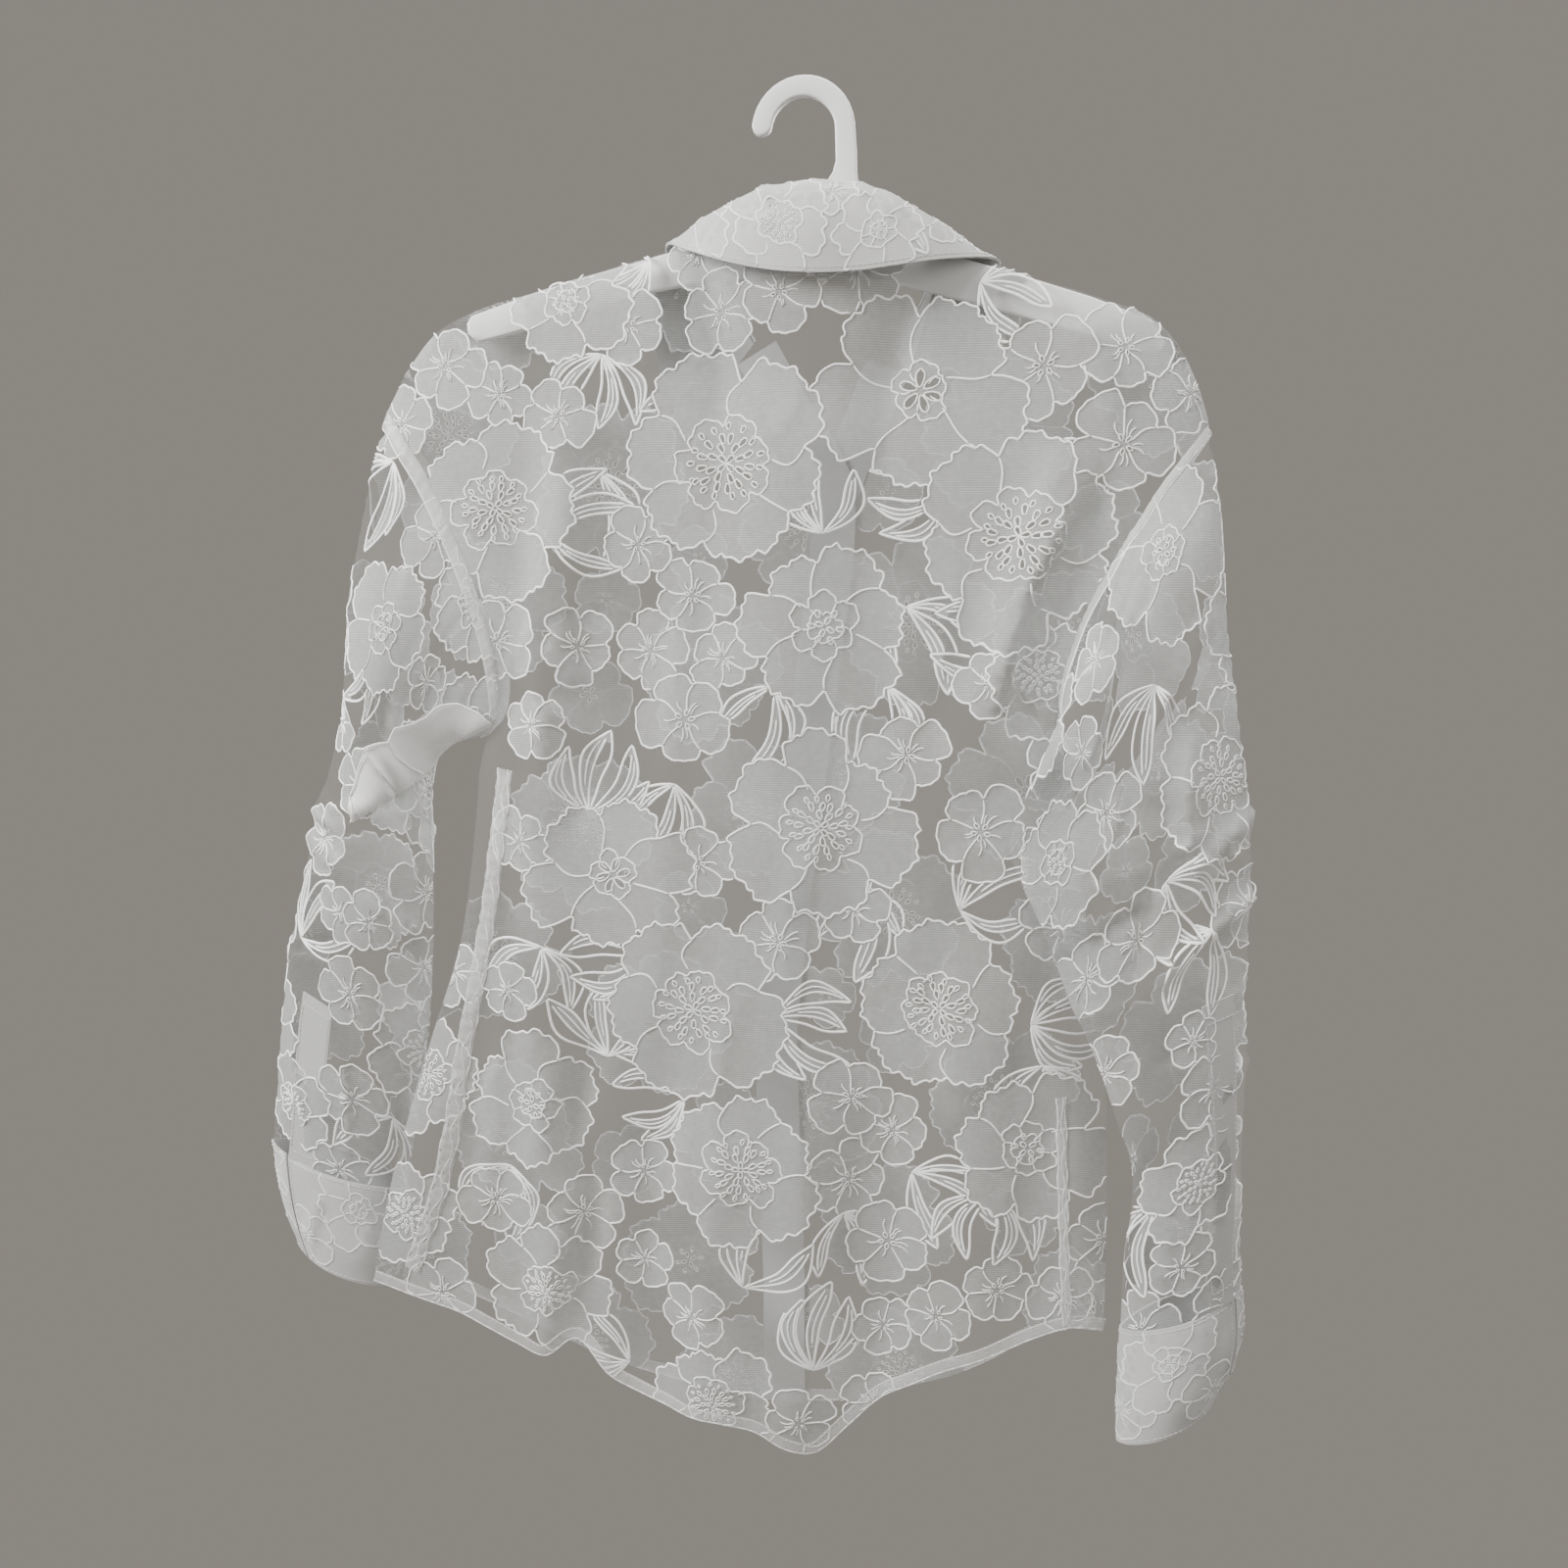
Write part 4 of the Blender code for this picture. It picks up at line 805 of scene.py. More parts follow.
def collar_grids(seam):
    """Grids of the stand, from the seam up, and of the fall, from the fold out to its edge."""
    data = np.array([row[1:] for row in COLLAR], dtype=float)
    rise, edge = data[:, 0:3], data[:, 3:6]
    stand = np.array([seam + rise * share for share in (0.0, 0.5, 1.0)])
    lift = COLLAR_WALL / 2 + FALL_GAP
    fall = np.zeros((FALL_ROWS, len(seam), 3))
    for k, fold in enumerate(seam + rise):
        up = unit(rise[k])
        out = edge[k] - fold
        over = unit(out - up * out.dot(up))
        # The fall starts above the stand and turns down over it in a soft arch
        top = fold + up * (lift + 0.6) + over * 1.8
        control = fold + over * (4.5 + 0.3 * np.linalg.norm(out)) + up * 0.5
        fall[0, k] = fold + up * lift - over * 0.9
        for r in range(1, FALL_ROWS):
            t = (r - 1) / (FALL_ROWS - 2)
            fall[r, k] = (1 - t) ** 2 * top + 2 * t * (1 - t) * control + t * t * edge[k]
    return stand, fall


def arc(centre, radius, start, end, steps):
    return [(centre[0] + radius * math.cos(math.radians(start + (end - start) * k / steps)),
             centre[1] + radius * math.sin(math.radians(start + (end - start) * k / steps)))
            for k in range(steps + 1)]


def hanger_outline():
    """Outline of the flat hanger in x and z, anticlockwise."""
    centre = (0.0, -HOOK_INNER_RADIUS)
    tip = arc(centre, HOOK_INNER_RADIUS + HOOK_WIDTH / 2, HOOK_TIP, HOOK_TIP, 1)[0]
    outline = arc(centre, HOOK_INNER_RADIUS + HOOK_WIDTH, HOOK_FOOT, HOOK_TIP, 18)
    outline += arc(tip, HOOK_WIDTH / 2, HOOK_TIP + 15, HOOK_TIP + 165, 6)
    outline += arc(centre, HOOK_INNER_RADIUS, HOOK_TIP, HOOK_FOOT, 16)
    outline += [(19.2, -36), (17.5, -42), (13, -49), (6, -55), (-8, -64), (-30, -75), (-52, -81)]
    left = [p for p in SHOULDER_LEFT if -200 <= p[0] <= -62][::-1]
    outline += [(x, z - ARM_SINK) for x, z in left[1:]]
    outline += [(-200.5, -117.6), (-203.5, -122), (-203, -128), (-197, -133)]
    outline += [(-164, -125.5), (-120, -114), (-88, -106), (-50, -100), (5, -98), (60, -106)]
    outline += [(100, -117), (140, -128.5), (175, -139), (202, -148), (207, -145.5), (208.5, -141)]
    outline += [(206, -137), (200, -126 - 2 * ARM_SINK)]
    right = [p for p in SHOULDER_RIGHT if 80 < p[0] < 199]
    outline += [(x, z - ARM_SINK) for x, z in right]
    outline += [(74, -88.5), (54, -80), (40, -68), (33.5, -56), (31.5, -42), (31, -30)]
    return outline


# Lines on a layout

def units(vectors):
    return vectors / np.maximum(np.linalg.norm(vectors, axis=1), 1e-9)[:, None]


def sideways(along):
    """Unit vectors to the left of the directions of a layout line."""
    along = units(along)
    return np.column_stack([-along[:, 1], along[:, 0]])


def offset_line(line, distance):
    """A layout line moved to its left by a distance."""
    return line + sideways(np.gradient(line, axis=0)) * distance


def closed_line(ring):
    """A ring with its first point repeated at the end."""
    return np.vstack([ring, ring[:1]])


def resample(line, step, closed=False):
    """The line with even steps."""
    line = np.asarray(line, dtype=float)
    if closed:
        line = closed_line(line)
    lengths = arc_lengths(line)
    count = max(int(round(lengths[-1] / step)), 3 if closed else 1)
    wanted = np.linspace(0, lengths[-1], count + 1)
    return at_lengths(line, lengths, wanted[:-1] if closed else wanted)


def inside(places, polygon):
    """Even-odd test of many places against one polygon."""
    x, y = places[:, 0], places[:, 1]
    result = np.zeros(len(places), dtype=bool)
    low, high = polygon.min(axis=0), polygon.max(axis=0)
    near = np.nonzero((x >= low[0]) & (x <= high[0]) & (y >= low[1]) & (y <= high[1]))[0]
    if len(near) == 0:
        return result
    ax, ay = np.roll(polygon, 1, axis=0).T
    bx, by = polygon.T
    rise = np.where(by == ay, 1.0, by - ay)
    batch = max(1, 1500000 // len(polygon))
    for start in range(0, len(near), batch):
        part = near[start:start + batch]
        px, py = x[part][:, None], y[part][:, None]
        crosses = ((ay > py) != (by > py)) & (px < (bx - ax) * (py - ay) / rise + ax)
        result[part] = crosses.sum(axis=1) % 2 == 1
    return result


# Cloth: a smooth middle surface with a flat layout, on which patterns are drawn

def refine(grid):
    """The grid with REFINE times as many rows and columns."""
    finer = refine_rows(np.array(grid, dtype=float), REFINE)
    return refine_rows(finer.transpose(1, 0, 2), REFINE).transpose(1, 0, 2)


class Cloth:
    """A surface with its flat layout. Points of the layout are lifted onto it."""

    def __init__(self, name, grid, layout, flip, creases=(), waver=0.0, seed=0):
        self.name = name
        self.grid = refine(grid)
        self.flat = refine(layout)
        rows, cols = self.grid.shape[:2]
        self.points = self.grid.reshape(-1, 3)
        self.places = self.flat.reshape(-1, 2)
        self.quads = grid_faces(rows, cols)
        tris = [tri for a, b, c, d in self.quads for tri in ((a, b, c), (a, c, d))]
        self.tris = np.array(tris)
        p, q, r = (self.points[self.tris[:, k]] for k in range(3))
        face = np.cross(q - p, r - p)
        normals = np.zeros_like(self.points)
        for k in range(3):
            np.add.at(normals, self.tris[:, k], face)
        self.normals = units(-normals if flip else normals)
        self.tree = BVHTree.FromPolygons([(x, y, 0.0) for x, y in self.places], tris)
        self.solid_tree = BVHTree.FromPolygons([tuple(v) for v in self.points], tris)
        top = [(0, j) for j in range(cols)]
        right = [(i, cols - 1) for i in range(1, rows)]
        low = [(rows - 1, j) for j in range(cols - 2, -1, -1)]
        left = [(i, 0) for i in range(rows - 2, 0, -1)]
        self.outline = np.array([self.flat[i, j] for i, j in top + right + low + left])
        self.creases = creases
        self.waver = waver
        self.phases = np.random.default_rng(seed).uniform(0, 6.28, 8)

    def rise(self, places):
        """Height of the small creases at each place of the layout."""
        x, y = places[:, 0], places[:, 1]
        total = np.zeros(len(places))
        for x0, y0, x1, y1, half_width, height in self.creases:
            along = np.array([x1 - x0, y1 - y0], dtype=float)
            length = np.linalg.norm(along)
            along /= length
            s = ((x - x0) * along[0] + (y - y0) * along[1]) / length
            bend = 0.12 * length * np.sin(np.pi * np.clip(s, 0, 1)) * np.sin(self.phases[0] + x0)
            across = (x - x0) * along[1] - (y - y0) * along[0] + bend
            ends = smoothstep((s + 0.05) / 0.35) * smoothstep((1.05 - s) / 0.35)
            total += height * ends * np.exp(-(across / half_width) ** 2)
        if self.waver:
            a = self.phases
            wave = (np.sin(x / 17 + a[0] + 1.4 * np.sin(y / 61 + a[1]))
                    * np.sin(y / 83 + a[2] + np.sin(x / 47 + a[3]))
                    + 0.6 * np.sin(x / 7.3 + y / 41 + a[4] + 1.2 * np.sin(y / 29 + a[5]))
                    * np.sin(y / 57 - x / 71 + a[6]))
            total += self.waver * wave
        return total

    def lift(self, places, height=0.0):
        """Positions and normals on the cloth, height mm out from its surface."""
        places = np.asarray(places, dtype=float).reshape(-1, 2)
        index = np.empty(len(places), dtype=int)
        down = Vector((0, 0, -1))
        for k, (x, y) in enumerate(places):
            hit = self.tree.ray_cast(Vector((x, y, 1.0)), down)
            if hit[2] is None:
                hit = self.tree.find_nearest(Vector((x, y, 0.0)))
            index[k] = hit[2]
        tri = self.tris[index]
        a, b, c = (self.places[tri[:, k]] for k in range(3))
        v0, v1, v2 = b - a, c - a, places - a
        den = v0[:, 0] * v1[:, 1] - v1[:, 0] * v0[:, 1]
        den = np.where(np.abs(den) < 1e-9, 1e-9, den)
        w1 = np.clip((v2[:, 0] * v1[:, 1] - v1[:, 0] * v2[:, 1]) / den, -0.3, 1.3)
        w2 = np.clip((v0[:, 0] * v2[:, 1] - v2[:, 0] * v0[:, 1]) / den, -0.3, 1.3)
        weights = np.stack([1 - w1 - w2, w1, w2], axis=1)[:, :, None]
        normals = units((self.normals[tri] * weights).sum(axis=1))
        spots = (self.points[tri] * weights).sum(axis=1)
        spots = spots + normals * (self.rise(places) + height)[:, None]
        corner = self.points[tri[:, 0]]
        edge_b, edge_c = self.points[tri[:, 1]] - corner, self.points[tri[:, 2]] - corner
        way_x = (edge_b * v1[:, 1:] - edge_c * v0[:, 1:]) / den[:, None]
        way_y = (edge_c * v0[:, :1] - edge_b * v1[:, :1]) / den[:, None]
        for way, shift in ((way_x, np.array([SLOPE_REACH, 0.0])), (way_y, np.array([0.0, SLOPE_REACH]))):
            slope = (self.rise(places + shift) - self.rise(places - shift)) / (2 * SLOPE_REACH)
            size = np.maximum((way * way).sum(axis=1), 0.3)
            normals = normals - way * (slope / size)[:, None]
        return spots, units(normals)

    def place_seen(self, x, z):
        """Place on the layout of what is seen at x, z along +Y, or None."""
        hit = self.solid_tree.ray_cast(Vector((x, EYE_Y, z)), Vector((0, 1, 0)))
        if hit[2] is None:
            return None
        tri = self.tris[hit[2]]
        a, b, c = self.points[tri]
        v0, v1, v2 = b - a, c - a, np.array(hit[0]) - a
        d00, d01, d11 = v0.dot(v0), v0.dot(v1), v1.dot(v1)
        d20, d21 = v2.dot(v0), v2.dot(v1)
        den = d00 * d11 - d01 * d01
        w1 = (d11 * d20 - d01 * d21) / den
        w2 = (d00 * d21 - d01 * d20) / den
        p, q, r = self.places[tri]
        return p * (1 - w1 - w2) + q * w1 + r * w2

    def places_near(self, spots):
        """Places of what is seen at the spots, or a few mm from there."""
        places = []
        for x, z in spots:
            tries = (self.place_seen(x + dx, z + dz) for dx, dz in NEARBY)
            place = next((found for found in tries if found is not None), None)
            if place is not None:
                places.append(place)
        return np.array(places)


# Layouts

def flat_xz(grid):
    return np.stack([grid[:, :, 0], grid[:, :, 2]], axis=2)


def unrolled(grid, middle):
    """Layout of a tube or collar: arc lengths along its rows, from the middle column, and up."""
    steps = np.linalg.norm(np.diff(grid, axis=1), axis=2)
    along = np.concatenate([np.zeros((len(grid), 1)), np.cumsum(steps, axis=1)], axis=1)
    along = along - along[:, middle:middle + 1]
    rises = np.linalg.norm(np.diff(grid, axis=0), axis=2)
    left = np.cumsum(rises[::-1], axis=0)[::-1]
    up = np.vstack([left, np.zeros((1, grid.shape[1]))])
    return np.stack([along, up], axis=2)


# Flowers and leaves, all from formulas

def polar(centre, angles, radii):
    return np.column_stack([centre[0] + radii * np.cos(angles), centre[1] + radii * np.sin(angles)])


def turn_between(start, end):
    """Shortest signed angle from start to end."""
    return np.angle(np.exp(1j * (end - start)))


def petal_ring(centre, radius, lobes, deep, teeth, turn, rng):
    """Outline of a flower: unequal petals, toothed edges and narrow notches between them."""
    around = 6.28 * radius
    angles = np.linspace(0, 2 * math.pi, max(int(around / PETAL_STEP), 24), endpoint=False)
    widths = rng.uniform(0.8, 1.2, lobes)
    widths *= 2 * math.pi / widths.sum()
    bounds = np.concatenate([[0], np.cumsum(widths)])
    reaches = rng.uniform(0.84, 1.1, lobes)
    shares = np.mod(angles - turn, 2 * math.pi)
    petal = np.clip(np.searchsorted(bounds, shares, side="right") - 1, 0, lobes - 1)
    t = (shares - bounds[petal]) / widths[petal]
    grown = np.minimum(1, np.minimum(t, 1 - t) / 0.12)
    dome = (1 - deep * (1 - grown) ** 1.3) * (1 - 0.11 * (2 * t - 1) ** 2)
    radii = radius * (dome * (1 + (reaches[petal] - 1) * grown))
    phase = rng.uniform(0, 6.28, 5)
    fine, broad, sharp = (max(int(round(around / size)), 3) for size in TOOTH_SIZES)
    waves = (np.sin(fine * angles + phase[0] + 1.3 * np.sin(3 * angles + phase[3]))
             + 1.1 * np.sin(broad * angles + phase[1])
             + 0.45 * np.sin(sharp * angles + phase[2]))
    radii = radii + teeth * waves * (0.35 + 0.65 * grown)
    notches = []
    for bound in bounds[:-1]:
        at = int(np.argmin(np.abs(turn_between(bound, angles - turn))))
        notches.append((angles[at], radii[at]))
    return polar(centre, angles, radii), notches


def teardrop(centre, angle, length, width):
    t = np.linspace(0, 2 * math.pi, 8, endpoint=False)
    along = length * np.cos(t) / 2
    across = width * np.sin(t) / 2 * (1 + 0.45 * np.cos(t))
    c, s = math.cos(angle), math.sin(angle)
    return np.column_stack([centre[0] + along * c - across * s, centre[1] + along * s + across * c])


def spoke(centre, a0, r0, a1, r1, bend, steps):
    """Curved line between two places given by angle and radius."""
    t = np.linspace(0, 1, steps)
    angles = a0 + turn_between(a0, a1) * t + bend * np.sin(math.pi * t)
    return polar(centre, angles, r0 + (r1 - r0) * t)


def drops(kind, centre, radius, turn, rng):
    """Rings of see-through drops around a centre."""
    result = []
    for share, count, size, slim in FLOWER_DROPS[kind]:
        offset = rng.uniform(0, 1)
        for k in range(count):
            angle = turn + 2 * math.pi * (k + offset) / count + rng.uniform(-0.1, 0.1)
            reach = share * radius * rng.uniform(0.93, 1.07)
            spot = centre + reach * np.array([math.cos(angle), math.sin(angle)])
            result.append(teardrop(spot, angle + rng.uniform(-0.2, 0.2), size * radius,
                                   slim * size * radius))
    return result


def small_flower(centre, radius, turn, rng):
    """Five plain petals with short veins between them: outline, drops and cords."""
    ring, notches = petal_ring(centre, radius, 5, 0.27, 0.45, turn, rng)
    core = 0.16 * radius
    cords = []
    for angle, reach in notches:
        cords.append((spoke(centre, angle, core, angle, reach, rng.uniform(-0.15, 0.15), 7), False, 1.25))
        for lean in (0.5, 0.8)[:int(rng.integers(1, 3))]:
            cords.append((spoke(centre, angle + lean, core, angle + lean + rng.uniform(-0.1, 0.15),
                                rng.uniform(0.32, 0.52) * radius, 0.12, 5), False, 0.95))
    opens = drops("small", centre, radius, turn, rng)
    cords += [(drop, True, 0.9) for drop in opens]
    cords.append((ring, True, 1.45))
    return ring, opens, cords


def large_flower(kind, centre, radius, turn, rng):
    """Toothed petals round an inner ring: outline, drops and cords."""
    deep, inner_share, inner_lobes, vein_share = LARGE_FLOWERS[kind]
    lobes = int(rng.integers(5, 7))
    ring, notches = petal_ring(centre, radius, lobes, deep, 1.25, turn, rng)
    inner_radius = inner_share * radius
    inner, inner_notches = petal_ring(centre, inner_radius, inner_lobes, 0.2, 0.75, turn + 0.5, rng)
    cords = [(ring, True, 1.6), (inner, True, 1.35)]
    for angle, reach in notches:
        near = min(inner_notches, key=lambda item: abs(turn_between(angle, item[0])))
        start = angle + 0.5 * turn_between(angle, near[0])
        cords.append((spoke(centre, start, inner_radius * 0.95, angle, reach,
                            rng.uniform(-0.16, 0.16), 12), False, 1.4))
    for angle, reach in inner_notches:
        cords.append((spoke(centre, angle, vein_share * radius, angle, reach,
                            rng.uniform(-0.12, 0.12), 6), False, 1.15))
    if kind == "peony":
        heart, _ = petal_ring(centre, 0.2 * radius, 5, 0.3, 0.4, turn, rng)
        cords.append((heart, True, 1.1))
    opens = drops(kind, centre, radius, turn, rng)
    cords += [(drop, True, 1.1) for drop in opens]
    return ring, opens, cords


def flower(kind, centre, radius, turn, rng):
    """One flower: solid outline, see-through drops and cords (line, closed, width)."""
    turn = math.radians(turn)
    if kind == "small":
        ring, opens, cords = small_flower(centre, radius, turn, rng)
    else:
        ring, opens, cords = large_flower(kind, centre, radius, turn, rng)
    return {"solid": [ring], "open": opens, "cords": cords, "centre": centre, "reach": radius}


def leaf_blade(number, base, way, size, half, curve):
    """One long curved leaf with its rib, and beside it a slot on one side and a vein on the other."""
    along = np.array([math.cos(way), math.sin(way)])
    side = np.array([-along[1], along[0]])

    def rib(t):
        t = np.asarray(t, dtype=float)
        return base + np.outer(t * size, along) + np.outer(curve * np.sin(math.pi * t), side)

    def width(t):
        t = np.clip(t, 0, 1)
        return half * np.sin(math.pi * t ** 1.25) ** 0.9 * (1 + 0.12 * np.sin(9 * t + number))

    def beside(t, share):
        return rib(t) + (share * width(t))[:, None] * side

    t = np.linspace(0.02, 1, max(int(size / 2.8), 8))
    outline = np.vstack([beside(t, 1), beside(t, -1)[::-1][1:]])
    cords = [(outline, True, 1.9), (rib(np.linspace(0.0, 0.9, max(int(size / 4), 6))), False, 1.6)]
    opens = []
    for sign in (-1, 1):
        if (number + (sign > 0)) % 2:
            s = np.linspace(0.2, 0.86, 10)
            near = rib(s) + sign * 0.12 * half * side
            opens.append(np.vstack([near, beside(s, 0.86 * sign)[::-1]]))
        else:
            cords.append((beside(np.linspace(0.3, 0.85, 8), 0.5 * sign), False, 1.3))
    return {"solid": [outline], "open": opens, "cords": cords, "centre": rib([0.55])[0],
            "reach": size * 0.3}


def leaf_spray(base, angle, length, blades, rng):
    """Long curved leaves from one base, the first on top."""
    result = []
    for number, lean in enumerate(sorted(np.linspace(-0.62, 0.62, blades), key=abs)):
        way = math.radians(angle) + lean + rng.uniform(-0.08, 0.08)
        size = length * rng.uniform(0.72, 1.0) * (1 - 0.2 * abs(lean))
        half = size * rng.uniform(0.12, 0.16)
        curve = size * (0.16 * np.sign(lean + 0.01) + rng.uniform(-0.08, 0.08))
        result.append(leaf_blade(number, base, way, size, half, curve))
    return result


def as_laid(x, z):
    return np.array([x, z], dtype=float)


def photo_axes():
    """The part's x, y and z axes as the photo's camera has them: right, up and ahead."""
    ahead = np.array([(PHOTO_VANISHING[0] - PHOTO_MIDDLE) / PHOTO_FOCAL,
                      (PHOTO_MIDDLE - PHOTO_VANISHING[1]) / PHOTO_FOCAL, 1.0])
    ahead /= np.linalg.norm(ahead)
    up = np.array([math.sin(PHOTO_ROLL), math.cos(PHOTO_ROLL), 0.0])
    up -= ahead * up.dot(ahead)
    up /= np.linalg.norm(up)
    return np.array([-np.cross(ahead, up), ahead, up])


def picked(px, py, cloth):
    """The x and z, in whole mm, of a spot picked in the photo on a cloth."""
    ray = photo_axes() @ np.array([(px - PHOTO_MIDDLE) / PHOTO_FOCAL, (PHOTO_MIDDLE - py) / PHOTO_FOCAL, 1.0])
    place = PHOTO_PLACE + ray * ((PICK_DEPTH[cloth] - PHOTO_PLACE[1]) / ray[1])
    return round(float(place[0])), round(float(place[2]))


def picked_flowers(picks, cloth):
    """Picked flowers in mm: kind, x, z, radius, turn."""
    return [(kind, *picked(px, py, cloth), round(radius * PICK_SCALE), turn)
            for kind, px, py, radius, turn in picks]


def picked_leaves(picks, cloth):
    """Picked leaf sprays in mm: x, z of the base, angle, length, blades."""
    return [(*picked(px, py, cloth), angle, round(length * PICK_SCALE), blades)
            for px, py, angle, length, blades in picks]


def motif_set(flowers, leaves, rng, place=as_laid, mirror=False):
    """Motifs of two tables, at the places that the place function gives."""
    motifs = []
    for kind, x, z, radius, turn in flowers:
        spot = place(x, z)
        if spot is not None:
            motifs.append(flower(kind, spot, radius, turn, rng))
    for x, z, angle, length, blades in leaves:
        spot = place(x, z)
        if spot is not None:
            angle = 180 - angle if mirror else angle
            motifs += leaf_spray(spot, angle, min(length * LEAF_GROWTH, LEAF_MOST), blades, rng)
    return motifs


def filled(outline, motifs, sizes, rng, spacing):
    """The motifs, with more in the open places that are left, the largest first."""
    taken = [(m["centre"], m["reach"]) for m in motifs]
    low, high = outline.min(axis=0), outline.max(axis=0)
    added = []
    for size in sizes:
        spots = rng.uniform(low, high, (FILL_TRIES, 2))
        for spot in spots[inside(spots, outline)]:
            reach = size * rng.uniform(0.9, 1.1)
            if all(np.linalg.norm(spot - c) > spacing * (reach + r) for c, r in taken):
                taken.append((spot, reach))
                added.append((FILL_KINDS[size], spot, reach))
    for kind, spot, reach in added:
        if kind == "leaf":
            angle = rng.uniform(0, 360)
            way = np.array([math.cos(math.radians(angle)), math.sin(math.radians(angle))])
            motifs += leaf_spray(spot - way * reach, angle, reach * 2.0, 4, rng)
        else:
            motifs.append(flower(kind, spot, reach, rng.uniform(0, 72), rng))
    return motifs


# Materials

def weave(material, shader, colour, grain):
    """Fine threads and a mottle in the colour and the surface of a cloth."""
    nodes, links = material.node_tree.nodes, material.node_tree.links
    place = nodes.new("ShaderNodeTexCoord")
    threads = nodes.new("ShaderNodeTexWave")
    threads.wave_type = "BANDS"
    threads.bands_direction = "Z"
    threads.inputs["Scale"].default_value = THREAD_SCALE
    threads.inputs["Distortion"].default_value = 1.4
    threads.inputs["Detail"].default_value = 2.0
    mottle = nodes.new("ShaderNodeTexNoise")
    mottle.inputs["Scale"].default_value = MOTTLE_SCALE
    mottle.inputs["Detail"].default_value = 4.0
    both = nodes.new("ShaderNodeMath")
    both.operation = "MULTIPLY"
    mix = nodes.new("ShaderNodeMix")
    mix.data_type = "RGBA"
    mix.inputs[6].default_value = (*(c * (1 - grain) for c in colour), 1.0)
    mix.inputs[7].default_value = (*colour, 1.0)
    bump = nodes.new("ShaderNodeBump")
    bump.inputs["Strength"].default_value = 0.25
    bump.inputs["Distance"].default_value = 0.2 * MM
    links.new(place.outputs["Object"], threads.inputs["Vector"])
    links.new(place.outputs["Object"], mottle.inputs["Vector"])
    links.new(threads.outputs["Fac"], both.inputs[0])
    links.new(mottle.outputs["Fac"], both.inputs[1])
    links.new(both.outputs["Value"], mix.inputs[0])
    links.new(mix.outputs[2], shader.inputs["Base Color"])
    links.new(both.outputs["Value"], bump.inputs["Height"])
    links.new(bump.outputs["Normal"], shader.inputs["Normal"])


def plain_material(name, colour, roughness, alpha=1.0, sheen=0.0, grain=0.0, specular=0.3):
    material = bpy.data.materials.new(name)
    material.use_nodes = True
    shader = material.node_tree.nodes["Principled BSDF"]
    shader.inputs["Base Color"].default_value = (*colour, 1.0)
    shader.inputs["Roughness"].default_value = roughness
    shader.inputs["Alpha"].default_value = alpha
    shader.inputs["Sheen Weight"].default_value = sheen
    shader.inputs["Sheen Roughness"].default_value = 0.4
    shader.inputs["Specular IOR Level"].default_value = specular
    if grain:
        weave(material, shader, colour, grain)
    return material


SKIN = {kind: plain_material(kind, *look, specular=0.5 if kind in SHINY else 0.25)
        for kind, look in LOOKS.items()}
SHEER = (SKIN["ground"], SKIN["petal"], SKIN["cord"])
TRIM = (SKIN["trim"], SKIN["trim_petal"], SKIN["trim_cord"])


# Pieces that lie on a cloth. Their names begin with the cloth's own

def new_object(name, data):
    item = bpy.data.objects.new(name, data)
    bpy.context.scene.collection.objects.link(item)
    return item


def make_object(name, points, faces, materials, indices=None, normals=None):
    """A smooth mesh of points in mm, which rides on the garment."""
    mesh = bpy.data.meshes.new(name)
    mesh.from_pydata([tuple(p) for p in np.asarray(points) * MM], [], [tuple(f) for f in faces])
    for material in materials:
        mesh.materials.append(material)
    if indices is not None:
        mesh.polygons.foreach_set("material_index", np.asarray(indices, dtype=np.int32))
    mesh.update()
    mesh.shade_smooth()
    if normals is not None:
        mesh.normals_split_custom_set_from_vertices([tuple(n) for n in normals])
    item = new_object(name, mesh)
    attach(item, ROOT)
    return item


def outward(spots, faces, normals):
    """The faces, each turned so that it faces along the cloth's normals."""
    faces = np.array(faces)
    a, b, c = (spots[faces[:, k]] for k in range(3))
    turned = (np.cross(b - a, c - a) * normals[faces[:, 0]]).sum(axis=1) < 0
    faces[turned] = faces[turned, ::-1]
    return faces


def raised(cloth, suffix, places, heights, faces, material):
    """A piece on the cloth, each of its points raised by its own height."""
    spots, normals = cloth.lift(places)
    spots = spots + normals * heights[:, None]
    faces = outward(spots, faces, normals)
    return make_object(cloth.name + suffix, spots, faces, [material])


def ribbons(cloth, suffix, lines, material, height, base_height=LIFT, step=CORD_STEP):
    """Raised cords: a low tent along each line (line, closed, width)."""
    places, faces, heights = [], [], []
    start = 0
    for line, closed, width in lines:
        line = resample(line, step, closed)
        count = len(line)
        if closed:
            along = np.roll(line, -1, axis=0) - np.roll(line, 1, axis=0)
        else:
            along = np.gradient(line, axis=0)
        side = sideways(along) * width * CORD_SHARE / 2
        if not closed:
            side[0] *= 0.5
            side[-1] *= 0.35
        places.append(np.stack([line + side, line, line - side], axis=1).reshape(-1, 2))
        heights.append(np.tile([base_height, base_height + height, base_height], count))
        for k in range(count if closed else count - 1):
            a, b = start + 3 * k, start + 3 * ((k + 1) % count)
            faces.append((a, b, b + 1, a + 1))
            faces.append((a + 1, b + 1, b + 2, a + 2))
        start += 3 * count
    return raised(cloth, suffix, np.vstack(places), np.concatenate(heights), faces, material)


